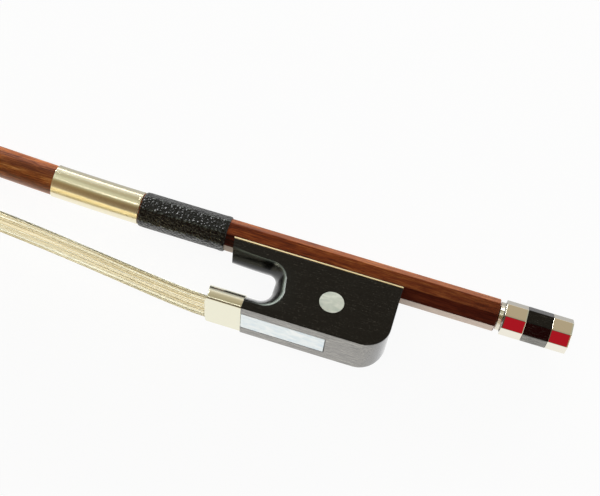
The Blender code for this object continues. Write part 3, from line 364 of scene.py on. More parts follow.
def head_rings(t, columns):
    """Rings of the head: round at the neck, shield-shaped at the face. On the shield's front half
    the width falls off as a power of the distance ahead, down to a narrow ridge."""
    shield_from, shield_to = 0.15625, 0.78125
    ahead_from = -0.05
    ahead_power, width_power, ridge_width = 1.7, 0.9, 0.03
    crest, throat_line = head_edges(t)
    middle, reach = (crest + throat_line) / 2.0, (crest - throat_line) / 2.0
    shield = smoothstep(share_of(t, shield_from, shield_to))[:, None]
    neck = NECK_DIAMETER / 2.0
    half_width = neck + (HEAD_FACE_HALF_WIDTH - neck) * smoothstep(t)[:, None]
    angle = ring_angles(columns)
    along, across = np.cos(angle), np.sin(angle)
    ahead = share_of(along, ahead_from, 1.0)
    width = np.maximum((1.0 - ahead**ahead_power) ** width_power, ridge_width)
    across = (1.0 - shield) * across + shield * np.sign(across) * width
    grid = np.empty((len(t), columns, 3))
    grid[..., 0] = middle[:, :1] + reach[:, :1] * along
    grid[..., 1] = middle[:, 1:] + reach[:, 1:] * along
    grid[..., 2] = half_width * across
    return grid


def make_stick(material):
    """The stick from the nipple under the collar to the face of the head, ring after ring."""
    nipple_x, nipple = HANDLE_END_X + NIPPLE_LENGTH, NIPPLE_DIAMETER / 2.0
    flats = HANDLE_FLATS / 2.0
    ends = round_or_octagon(
        np.array((nipple_x, nipple_x, HANDLE_END_X, HANDLE_END_X)),
        np.array((NIPPLE_CAP_RADIUS, nipple, nipple, flats - HANDLE_CHAMFER)),
        np.array((0.0, 0.0, 0.0, 1.0)), 0.0, COLUMNS)
    x = np.linspace(HANDLE_END_X - HANDLE_CHAMFER, ROUND_FROM_X, 60)[:-1]
    handle = round_or_octagon(x, flats, 1.0, 0.0, COLUMNS)
    easing_x = np.linspace(ROUND_FROM_X, ROUND_TO_X, 12)
    x = np.concatenate((easing_x, np.linspace(ROUND_TO_X, NECK_X, 230)[1:-1]))
    shaft = round_or_octagon(x, stick_radius(x), facet_weight(x), stick_height(x), COLUMNS)
    head = head_rings(np.linspace(0.0, 1.0, 72), COLUMNS)
    grid = np.concatenate((ends, handle, shaft, head))
    return surface("stick_wood", grid, material, "stick", ["stick"], caps=True, angle=28.0)


def make_tip_plates(liner_material, plate_material):
    """Two thin plates with the outline of the head's face, the outer one with a soft edge."""
    outline = head_rings(np.ones(1), COLUMNS)[0]
    middle = outline.mean(axis=0)
    inward = middle - outline
    inward /= np.linalg.norm(inward[:, (0, 2)], axis=1)[:, None]

    def plate(name, top_y, thickness, soft, material, stands_for):
        """The outline at six heights: halfway in, drawn in by soft, full, and back again."""
        heights = np.array((0.0, 0.0, -soft, -thickness + soft, -thickness, -thickness))
        grid = np.repeat(outline[None], len(heights), axis=0)
        grid[[1, 4]] += inward * soft
        grid[[0, 5]] = middle + (outline - middle) * 0.5
        grid[..., 1] = top_y + heights[:, None]
        return surface(name, grid, material, "stick", [stands_for], caps=True, angle=30.0)

    top = HEAD_FACE_Y - GAP
    plate("tip_liner_plate", top, TIP_LINER_THICKNESS, TIP_LINER_SOFT_EDGE, liner_material, "tip_liner")
    top = top - TIP_LINER_THICKNESS - GAP
    plate("tip_bone_plate", top, TIP_PLATE_THICKNESS, TIP_PLATE_SOFT_EDGE, plate_material, "tip_plate")


def wrap_grid(x, offset, facets, columns=COLUMNS, crisp=HANDLE_CRISPNESS):
    """Rings that stand off the stick's surface by an offset, with facets where the stick has any."""
    radius = stick_radius(x) + offset
    return round_or_octagon(x, radius, facets * facet_weight(x), stick_height(x), columns, crisp)


def make_leather(material):
    """A sleeve whose ends swell a little and roll over by a quarter circle: the outside, then the
    inside back again. A painted highlight lies as a bell curve on each of the handle's eight edges."""
    roll_length, rolled_share = 0.0005, 0.25
    swell_height, swell_place, swell_length = 0.00008, 0.0012, 0.0010
    highlight_from_end, highlight_columns = 0.002, 0.6
    facet_columns = COLUMNS // 8
    length = LEATHER_REAR_X - LEATHER_FRONT_X
    x = LEATHER_REAR_X - length * (1.0 - np.cos(np.linspace(0.0, math.pi, 90))) / 2.0
    end = np.minimum(LEATHER_REAR_X - x, x - LEATHER_FRONT_X)
    roll = np.sqrt(np.clip(1.0 - (1.0 - np.minimum(end / roll_length, 1.0)) ** 2, 0.0, 1.0))
    swell = swell_height * np.exp(-((end - swell_place) / swell_length) ** 2)
    thickness = LEATHER_THICKNESS * (rolled_share + (1.0 - rolled_share) * roll)
    outer = wrap_grid(x, WRAP_GAP + thickness + swell, LEATHER_FACETS, crisp=LEATHER_CRISPNESS)
    inner = wrap_grid(x[::-9], WRAP_GAP * 0.5, 1.0)
    grid = np.concatenate((outer, inner))
    from_edge = np.arange(COLUMNS) % facet_columns - facet_columns / 2.0
    # Painted highlight along the handle's edges
    painted_highlight = np.concatenate((np.clip(end / highlight_from_end, 0.0, 1.0), np.zeros(len(inner))))
    painted_highlight = painted_highlight[:, None] * np.exp(-((from_edge / highlight_columns) ** 2))
    return surface("thumb_leather_sleeve", grid, material, "stick", ["thumb_leather"],
                   loop=True, angle=50.0, painted_highlight=painted_highlight)


def make_winding(material):
    """Fine wire wound round the stick: the sleeve's radius rises and falls by a cosine of the
    distance along plus the turn, so the ridges run as one screw. Plain bands close both ends."""
    columns, rings_per_turn = 72, 8
    turns = (WINDING_REAR_X - WINDING_FRONT_X) / WIRE_PITCH
    x = np.linspace(WINDING_REAR_X, WINDING_FRONT_X, int(turns * rings_per_turn) + 1)
    end = np.minimum(WINDING_REAR_X - x, x - WINDING_FRONT_X)
    wound = (end > WINDING_BAND_LENGTH)[:, None]
    grid = wrap_grid(x, WRAP_GAP + WINDING_THICKNESS * WINDING_MIDDLE, 0.0, columns)
    phase = TURN * x[:, None] / WIRE_PITCH + ring_angles(columns)
    ridge = np.where(wound, WIRE_RIDGE * np.cos(phase), WINDING_BAND_HEIGHT)
    ridge = ridge - WINDING_ROUND * np.clip(1.0 - end / WINDING_ROUND, 0.0, 1.0)[:, None]
    away = grid[..., 1:] - np.stack((stick_height(x), np.zeros(len(x))), axis=-1)[:, None]
    grid[..., 1:] += away / np.linalg.norm(away, axis=-1, keepdims=True) * ridge[..., None]
    inner = wrap_grid(np.array((WINDING_FRONT_X, WINDING_REAR_X)), WRAP_GAP * 0.5, 0.0, columns)
    grid = np.concatenate((grid, inner))
    return surface("grip_winding", grid, material, "stick", ["winding"], loop=True, angle=60.0)


# Frog

def frog_half_width(y):
    """Half the frog's width at a height: its sides flare from the stick to the underside."""
    return HANDLE_FLATS / 2.0 + FLARE_SLOPE * (FLARE_TOP_Y - y)


def throat(s, share):
    """The thumb throat in side view. s runs 0 to 1 along the roof, which droops by a sine, the
    shoulder's quarter circle, the end wall, the foot's quarter circle and the floor. share is
    0 at the waist and 1 at the rim, and mixes the two outlines."""
    s, share = np.broadcast_arrays(np.asarray(s, float), np.asarray(share, float))
    droop_depth, droop_start, lead = 1.4, 0.45, 0.004

    def mix(waist, rim):
        """A value of the waist and one of the rim, mixed by share."""
        return waist + (rim - waist) * share

    end_x, floor_y = mix(THROAT_END_X, RIM_END_X), mix(THROAT_FLOOR_Y, RIM_FLOOR_Y)
    top_radius = mix(THROAT_TOP_RADIUS, RIM_TOP_RADIUS)
    foot_radius = mix(THROAT_FLOOR_RADIUS, RIM_FLOOR_RADIUS)
    droop, top_y = mix(ROOF_DROOP, RIM_DROOP), mix(THROAT_TOP_Y, RIM_TOP_Y)
    bend_x = end_x - top_radius
    shoulder_y = top_y + droop * (1.0 - droop_depth) - top_radius
    lead_x = FERRULE_FRONT_X - lead
    front_y = top_y + droop * (1.0 - droop_depth * math.sin(droop_start))
    front_x = TONGUE_RAKE * front_y / THROAT_TOP_Y
    roof_x = front_x + (bend_x - front_x) * share_of(s, 0.0, ROOF_END)
    sag = np.sin(QUARTER * (roof_x - lead_x) / (bend_x - lead_x))
    roof_y = top_y + droop * (1.0 - droop_depth * sag)
    rising = QUARTER * (1.0 - share_of(s, ROOF_END, SHOULDER_END))
    arc_x, arc_y = bend_x + top_radius * np.cos(rising), shoulder_y + top_radius * np.sin(rising)
    drop = floor_y + foot_radius - shoulder_y
    wall_y = shoulder_y + drop * share_of(s, SHOULDER_END, WALL_END)
    falling = QUARTER * share_of(s, WALL_END, FOOT_END)
    foot_x = end_x - foot_radius + foot_radius * np.cos(falling)
    foot_y = floor_y + foot_radius - foot_radius * np.sin(falling)
    back = FERRULE_REAR_X - end_x + foot_radius
    floor_x = (end_x - foot_radius) + back * share_of(s, FOOT_END, 1.0)
    zones = [s <= ROOF_END, s <= SHOULDER_END, s <= WALL_END, s <= FOOT_END]
    x = np.select(zones, [roof_x, arc_x, end_x, foot_x], floor_x)
    y = np.select(zones, [roof_y, arc_y, wall_y, foot_y], floor_y)
    return np.stack((x, y), axis=-1)


def frog_outline(s):
    """The frog's outer edge in side view, from the tongue's front over the rear and the heel's
    quarter circle to the ferrule: the edge's and the middle's points and the inner fold's z."""
    floor = -CHANNEL_FLATS / 2.0
    fold_z = CHANNEL_FLATS / 2.0 * math.tan(OCTANT / 2.0)
    heel_x, heel_y = FROG_LENGTH - HEEL_RADIUS, FROG_BOTTOM_Y + HEEL_RADIUS
    back = share_of(s, 0.0, TOP_END)
    down = share_of(s, TOP_END, REAR_END)
    turn = QUARTER * share_of(s, REAR_END, HEEL_END)
    forward = share_of(s, HEEL_END, 1.0)
    zones = [s <= TOP_END, s <= REAR_END, s <= HEEL_END]
    front = TONGUE_RAKE * FROG_TOP_Y / THROAT_TOP_Y
    heel_arc_x, heel_arc_y = heel_x + HEEL_RADIUS * np.cos(turn), heel_y - HEEL_RADIUS * np.sin(turn)
    edge_x = np.select(
        zones, [front + (FROG_LENGTH - front) * back, FROG_LENGTH + 0.0 * s, heel_arc_x],
        heel_x + (FERRULE_REAR_X - heel_x) * forward)
    edge_y = np.select(
        zones, [FROG_TOP_Y + 0.0 * s, FROG_TOP_Y + (heel_y - FROG_TOP_Y) * down, heel_arc_y],
        FROG_BOTTOM_Y)
    middle_y = np.select(
        zones, [floor + 0.0 * s, floor + (heel_y - floor) * down, heel_arc_y], FROG_BOTTOM_Y)
    rake = (1.0 - back) * (TONGUE_RAKE * (floor - FROG_TOP_Y) / THROAT_TOP_Y)
    middle_x = edge_x + np.where(s < TOP_END, rake, 0.0)
    heel_fold = 0.5 * frog_half_width(edge_y)
    fold = np.select(
        zones, [fold_z + 0.0 * s, fold_z + (heel_fold - fold_z) * down, heel_fold],
        SLIDE_HALF_WIDTH + GAP)
    return edge_x, edge_y, middle_x, middle_y, fold


def step_towards(a, b, distance):
    """Points a moved by a distance on the straight line to points b."""
    step = b - a
    return a + step / np.linalg.norm(step, axis=1, keepdims=True) * distance


def bend(a, corner, b, steps):
    """Points on a parabola from a to b that leaves and arrives along the lines to the corner."""
    t = np.linspace(0.0, 1.0, steps)[None, :, None]
    return (1 - t) ** 2 * a[:, None] + 2 * t * (1 - t) * corner[:, None] + t**2 * b[:, None]


def run(a, b, steps):
    """Points spaced evenly between a and b, without the two ends."""
    t = np.linspace(0.0, 1.0, steps + 2)[None, 1:-1, None]
    return (1 - t) * a[:, None] + t * b[:, None]


def make_frog(material):
    """The frog as a section carried round its side view. Each section runs from the throat's
    waist out to the rim, rounds over it, crosses the flaring side, rounds the outer edge and
    comes in over the channel, rear, heel or underside; the far half mirrors the near one.
    A painted highlight lies on the rim: a bell curve across it times an amount that changes along it."""
    rim_soft, edge_soft, scooped = 0.00045, 0.0003, 0.94
    highlight_places = (0.0, 0.06, ROOF_END, 0.45, 0.60, 0.76, FOOT_END, 0.90, 1.0)
    highlight_amounts = (0.1, 0.3, 0.4, 0.6, 1.0, 0.8, 0.2, 0.03, 0.0)
    highlight_columns = 2.6
    stretches = ((0.0, ROOF_END, 30), (0.305, 0.379, 12), (TOP_END, 0.505, 18),
                 (REAR_END, HEEL_END, 34), (0.754, FOOT_END, 10), (0.83, 1.0, 16))
    s = np.concatenate([np.linspace(*stretch) for stretch in stretches])
    heel_x = FROG_LENGTH - HEEL_RADIUS
    slide_s = HEEL_END + (1.0 - HEEL_END) * (heel_x - SLIDE_REAR_X - GAP) / (heel_x - FERRULE_REAR_X)
    step = 1e-6
    s = np.sort(np.concatenate((s, (slide_s, slide_s + step))))

    rim_z = frog_half_width((RIM_TOP_Y + RIM_FLOOR_Y) / 2.0)
    reach = np.full(s.shape, rim_z)
    for _ in range(12):
        rim = throat(s, (reach / rim_z) ** RIM_POWER)
        reach = frog_half_width(rim[..., 1])
    rim = np.concatenate((rim, reach[:, None]), axis=1)
    z = np.linspace(0.0, scooped, 26) * reach[:, None]
    inside = np.concatenate((throat(s[:, None], (z / rim_z) ** RIM_POWER), z[..., None]), axis=2)

    edge_x, edge_y, middle_x, middle_y, fold = frog_outline(s)
    edge = np.stack((edge_x, edge_y, frog_half_width(edge_y)), axis=1)
    bed = np.where(s > slide_s + step / 2.0, PEARL_THICKNESS + GAP, 0.0)
    fold_y = np.where(s <= REAR_END, middle_y, edge_y)
    mouth = np.stack((middle_x, fold_y, fold), axis=1)
    inner = np.stack((middle_x, fold_y + bed, fold), axis=1)
    middle = np.stack((middle_x, middle_y + bed, 0.0 * s), axis=1)

    side_start = step_towards(rim, edge, rim_soft)
    side_end = step_towards(edge, rim, edge_soft)
    under_start = step_towards(edge, mouth, edge_soft)
    near = np.concatenate((
        inside, bend(inside[:, -1], rim, side_start, 9)[:, 1:], run(side_start, side_end, 5),
        bend(side_end, edge, under_start, 6), run(under_start, mouth, 2), mouth[:, None],
        inner[:, None], run(inner, middle, 3), middle[:, None]), axis=1)
    far = near[:, -2:0:-1] * np.array((1.0, 1.0, -1.0))
    grid = np.concatenate((near, far), axis=1)

    # Painted highlight along the throat's rim
    rim_column = inside.shape[1] + 1.0
    ridge = np.exp(-(((np.arange(near.shape[1]) - rim_column) / highlight_columns) ** 2))
    ridge = np.concatenate((ridge, ridge[-2:0:-1]))
    painted_highlight = np.interp(s, highlight_places, highlight_amounts)[:, None] * ridge
    return surface("frog_ebony", grid, material, "frog", ["frog"], caps=True, angle=34.0, painted_highlight=painted_highlight)


def ferrule_section(inset, columns):
    """Round the ferrule: an elliptical arch over a flat underside with small round corners."""
    half_width = FERRULE_HALF_WIDTH - inset
    side_y = FROG_BOTTOM_Y + FERRULE_SIDE
    rise = THROAT_FLOOR_Y - inset - side_y
    low, corner = FROG_BOTTOM_Y + inset, max(FERRULE_CORNER - inset, FERRULE_INNER_CORNER)
    a = np.linspace(0.0, 2.0 * QUARTER, columns // 2)
    arch = np.stack((side_y + rise * np.sin(a), half_width * np.cos(a)), axis=1)
    b = np.linspace(0.0, QUARTER, 8)
    far = np.stack((low + corner - corner * np.sin(b), -half_width + corner - corner * np.cos(b)), axis=1)
    across = np.linspace(-half_width + corner, half_width - corner, columns // 4)
    flat = np.stack((np.full(columns // 4, low), across), axis=1)
    near = far[::-1] * np.array((1.0, -1.0))
    return np.concatenate((arch, far, flat[1:-1], near))


def make_ferrule(material):
    """The section carried along the hair's run. Its front edge draws back towards the sides by
    the square of the distance out, and the lip rolls over a quarter circle at each end."""
    front, rear, soft = FERRULE_FRONT_X, FERRULE_REAR_X, FERRULE_LIP
    lip = np.linspace(0.0, QUARTER, 6)
    body = np.linspace(rear - soft, front + soft, 30)[1:-1]
    bore = (front, front + FERRULE_BORE_RING, rear)
    over, rolled = soft - soft * np.sin(lip), soft - soft * np.cos(lip)
    x = np.concatenate(((rear - over)[::-1], body, front + over, bore))
    inset = np.concatenate((rolled[::-1], np.zeros(len(body)), rolled, np.full(len(bore), FERRULE_WALL)))
    rings = []
    for place, depth in zip(x, inset):
        section = ferrule_section(depth, 160)
        outer = np.maximum(np.abs(section[:, 1]) / FERRULE_HALF_WIDTH - FERRULE_ROUND_FROM, 0.0)
        back = FERRULE_FRONT_ROUND * (outer / (1.0 - FERRULE_ROUND_FROM)) ** 2
        rings.append(np.column_stack((place + back * share_of(place, rear, front), section)))
    return surface("hair_ferrule", np.stack(rings), material, "frog", ["ferrule"], loop=True, angle=50.0)


def make_eyes(material):
    """Pearl discs let into the frog's sides: rings from the domed middle out and down the rim."""
    radius = np.array((0.0, 0.55, 0.90, 0.985, 1.0, 1.0, 0.0)) * EYE_RADIUS
    height = np.array((0.00010, 0.00009, 0.00006, 0.00002, -0.00008, -0.0011, -0.0011))
    angle = ring_angles(COLUMNS)
    forward = np.array((1.0, 0.0, 0.0))
    for side, name in ((1.0, "near"), (-1.0, "far")):
        normal = np.array((0.0, FLARE_SLOPE, side)) / math.hypot(1.0, FLARE_SLOPE)
        upward = np.array((0.0, side, -FLARE_SLOPE)) / math.hypot(1.0, FLARE_SLOPE) * side
        centre = np.array((EYE_X, EYE_Y, side * frog_half_width(EYE_Y)))
        spoke = np.cos(angle)[:, None] * forward + np.sin(angle)[:, None] * upward
        grid = centre + radius[:, None, None] * spoke + height[:, None, None] * normal
        surface(f"pearl_disc_{name}", grid, material, "frog", [f"pearl_eye_{name}"], angle=40.0)


def make_lining_screws(material):
    """Lining screws below their heads: a turned shank that tapers to a blunt point."""
    head_y = -HANDLE_FLATS / 2.0 - 0.00035
    point, shank, taper_from, length = 0.00030, 0.00080, 0.0022, 0.0037
    angle = ring_angles(24)
    radius = np.array((point, shank, shank))[:, None]
    depth = np.array((-length, -taper_from, 0.0))[:, None]
    for x, name in ((SCREW_FRONT_X, "front"), (SCREW_REAR_X, "rear")):
        y = head_y + depth + 0.0 * angle
        grid = np.stack((x + radius * np.cos(angle), y, radius * np.sin(angle)), axis=-1)
        piece = surface(f"short_screw_{name}", grid, material, "frog", [f"lining_screw_{name}"], caps=True)


# Button

def make_button(silver, black):
    """Collar of three beads, two octagonal silver bands and the ebony between them."""
    start = COLLAR_START_X + COLLAR_LENGTH
    core_start, core_end = start + BAND_FRONT_LENGTH, start + BAND_FRONT_LENGTH + CORE_LENGTH
    end = core_end + BAND_REAR_LENGTH
    flats, bore = BUTTON_FLATS / 2.0, BUTTON_FLATS / 2.0 - BAND_WALL + BAND_FIT

    length = COLLAR_LENGTH - GAP
    bead = length * COLLAR_BEAD_SHARE
    body, hole = HANDLE_FLATS / 2.0 - COLLAR_STEP, NIPPLE_DIAMETER / 2.0 + GAP
    over = np.linspace(2.0 * QUARTER, 0.0, 12)
    beads = [np.stack((COLLAR_START_X + length * c + bead * np.cos(over), body + bead * np.sin(over)), axis=1)
             for c in COLLAR_BEADS]
    profile = np.concatenate(([(COLLAR_START_X, hole), (COLLAR_START_X, body)], *beads,
                              [(COLLAR_START_X + length, body), (COLLAR_START_X + length, hole)]))
    grid = round_or_octagon(profile[:, 0], profile[:, 1], 0.0, 0.0, COLUMNS)
    surface("beaded_collar", grid, silver, "screw", ["button_collar"], loop=True, angle=45.0)

    def turned(x, radius, facets):
        """Rings of the button, turned as it stands."""
        return round_or_octagon(x, radius, facets, 0.0, BUTTON_COLUMNS, BUTTON_CRISPNESS, BUTTON_TURN)

    lip = np.linspace(0.0, QUARTER, 5)
    rising, falling = BAND_LIP * np.sin(lip), BAND_LIP * np.cos(lip)
    for name, low, high in (("front", start, core_start - GAP / 4.0), ("rear", core_end + GAP / 4.0, end)):
        flat_x = np.linspace(low + BAND_LIP, high - BAND_LIP, 12)[1:-1]
        x = np.concatenate((low + BAND_LIP - falling, flat_x, high - BAND_LIP + rising, (high, low)))
        radius = np.concatenate((flats - BAND_LIP + rising, np.full(len(flat_x), flats),
                                 flats - BAND_LIP + falling, (bore, bore)))
        facets = np.where(radius > bore + 1e-6, 1.0, 0.0)
        surface(f"button_band_{name}", turned(x, radius, facets), silver, "screw",
                [f"button_{name}_band"], loop=True, angle=50.0)

    spigot, tail = bore - BAND_FIT, end - CORE_INSET
    x = np.array((start + GAP, start + GAP, core_start, core_start, core_end, core_end, tail, tail))
    radius = np.array((CORE_CAP_RADIUS, spigot, spigot, flats, flats, spigot, spigot, CORE_CAP_RADIUS))
    facets = np.where(radius == flats, 1.0, 0.0)
    surface("button_ebony", turned(x, radius, facets), black, "screw", ["button_core"], caps=True, angle=40.0)


# Hair

def hair_line(x):
    """Middle of the slack hair between the ferrule and the head: the chord, a rise that settles by
    an exponential of a power of the distance, and a cubic fall towards the head."""
    along = np.maximum(FERRULE_FRONT_X - x, 0.0)
    exit_y = HEAD_FACE_Y - 3.0 * GAP - TIP_LINER_THICKNESS - TIP_PLATE_THICKNESS - HAIR_THICKNESS / 2.0
    rise = HAIR_RISE * (1.0 - np.exp(-((along / HAIR_RISE_LENGTH) ** HAIR_RISE_POWER)))
    share = share_of(x, FERRULE_FRONT_X, HEAD_REAR_X)
    return HAIR_EXIT_Y + (exit_y - HAIR_EXIT_Y) * share + rise - HAIR_RISE * share**3


def hair_half_width(x):
    """Half the hair's width: it narrows by a power of the share of the way to the head."""
    t = share_of(x, FERRULE_FRONT_X, HEAD_REAR_X)
    return HAIR_HALF_WIDTH_FROG + (HAIR_HALF_WIDTH_HEAD - HAIR_HALF_WIDTH_FROG) * t**HAIR_TAPER_POWER


def make_hair(material):
    """Strands side by side over a thin core. Each strand keeps its share of the width, wanders
    by a slow sine of the distance, and is a three-sided tube along its path. The strands are as
    thick as the coarsest real hair, so that single ones show. All of it dips into the head."""
    strands, steps, sides = 300, 72, 3
    dip_steps, dip_reach, dip_depth, dip_power = 6, 0.0009, 0.0016, 1.5
    jitter, depth, wander, lift = 0.006, 0.00040, 0.00014, 0.00007
    rng = np.random.default_rng(7)
    inside_ferrule, before_dip = 0.0035, 0.0012
    mortise_x = HEAD_REAR_X - HEAD_MORTISE_INSET
    x = np.linspace(FERRULE_FRONT_X + inside_ferrule, mortise_x + before_dip, steps - dip_steps)
    x = np.concatenate((x, mortise_x + np.linspace(dip_reach, -dip_reach, dip_steps)))
    dip = dip_depth * share_of(x, mortise_x + dip_reach, mortise_x - dip_reach) ** dip_power
    share = (np.arange(strands) + 0.5) / strands * 2.0 - 1.0
    share = share + rng.uniform(-jitter, jitter, strands)
    level = rng.uniform(-1.0, 1.0, strands)
    level = np.sign(level) * np.abs(level) ** 0.5 * depth
    sway = rng.uniform(0.0, TURN, (strands, 1))
    pace = rng.uniform(15.0, 40.0, (strands, 1))
    edge = hair_half_width(x)
    z = np.clip(share[:, None] * edge + wander * np.sin(pace * x + sway), -edge, edge)
    y = hair_line(x) + dip + level[:, None] + lift * np.sin(1.7 * pace * x + sway)
    radius = rng.uniform(*STRAND_RADII, (strands, 1, 1))
    spin = rng.uniform(0.0, TURN, (strands, 1, 1)) + ring_angles(sides)
    tube = np.empty((strands, steps, sides, 3))
    tube[..., 0] = x[:, None]
    tube[..., 1] = y[..., None] + radius * np.cos(spin)
    tube[..., 2] = z[..., None] + radius * np.sin(spin)
    index = np.arange(strands * steps * sides).reshape(strands, steps, sides)
    after = np.roll(index, -1, axis=2)
    quads = np.stack((index[:, :-1], after[:, :-1], after[:, 1:], index[:, 1:]), axis=-1).reshape(-1, 4)
    ends = np.concatenate((index[:, 0], index[:, -1, ::-1]))
    mesh = bpy.data.meshes.new("hair_strands")
    mesh.from_pydata(on_table(tube).reshape(-1, 3).tolist(), [], quads.tolist() + ends.tolist())
    lock = np.sin(share * 9.0 + 1.0) + np.sin(share * 23.0 + 4.0) + np.sin(share * 41.0)
    tones = np.clip(0.5 + 0.20 * lock + rng.uniform(-0.30, 0.30, strands), 0.0, 1.0)
    tone = mesh.attributes.new("tone", "FLOAT", "POINT")
    tone.data.foreach_set("value", np.repeat(tones, steps * sides))
    mesh.shade_smooth()
    mesh.materials.append(material)
    hair = bpy.data.objects.new("hair_strands", mesh)
    bpy.context.scene.collection.objects.link(hair)

    thin, thick, reach, core_share = 0.00030, 0.00036, 0.98, 0.985
    section = np.array(((thin, -reach), (thick, 0.0), (thin, reach),
                        (-thin, reach), (-thick, 0.0), (-thin, -reach)))
    grid = np.empty((steps, len(section), 3))
    grid[..., 0] = x[:, None]
    grid[..., 1] = (hair_line(x) + dip)[:, None] + section[:, 0]
    grid[..., 2] = (edge * core_share)[:, None] * section[:, 1]
    core = surface("hair_core", grid, material, None, caps=True, angle=30.0)
    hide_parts("hair_ribbon")
    for piece in (hair, core):
        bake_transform(piece)


# Materials

# A Mix node's sockets by number: its two colours and the mixed colour that comes out
COLOUR_A, COLOUR_B, MIXED = 6, 7, 2


def linear(code):
    """An sRGB hex colour as linear RGB with alpha 1."""
    channels = [int(code[k:k + 2], 16) / 255.0 for k in (1, 3, 5)]
    return tuple(c / 12.92 if c <= 0.04045 else ((c + 0.055) / 1.055) ** 2.4 for c in channels) + (1.0,)


def add(tree, kind, links=None, stops=(), **settings):
    """Add a node, set its settings, and give each named input a socket or a value. stops are a
    colour ramp's places and hex colours."""
    node = tree.nodes.new(kind)
    for key, value in settings.items():
        setattr(node, key, value)
    for key, value in (links or {}).items():
        if isinstance(value, bpy.types.NodeSocket):
            tree.links.new(value, node.inputs[key])
        else:
            node.inputs[key].default_value = value
    for _ in stops[2:]:
        node.color_ramp.elements.new(0.5)
    for k, (place, code) in enumerate(stops):
        node.color_ramp.elements[k].position = place
        node.color_ramp.elements[k].color = linear(code)
    return node


def new_material(name, **constants):
    """A new material, its node tree and its main shader, with the constants set on that shader."""
    material = bpy.data.materials.new(name)
    material.use_nodes = True
    tree = material.node_tree
    shader = tree.nodes["Principled BSDF"]
    for key, value in constants.items():
        shader.inputs[key.replace("_", " ").title().replace("Ior", "IOR")].default_value = value
    return material, tree, shader


def stretched(tree, along_mm, across_mm):
    """Object coordinates scaled so that one unit is along_mm on x and across_mm on y and z."""
    place = add(tree, "ShaderNodeTexCoord").outputs["Object"]
    scale = (1000.0 / along_mm, 1000.0 / across_mm, 1000.0 / across_mm)
    return add(tree, "ShaderNodeMapping", {"Vector": place, "Scale": scale}).outputs["Vector"]


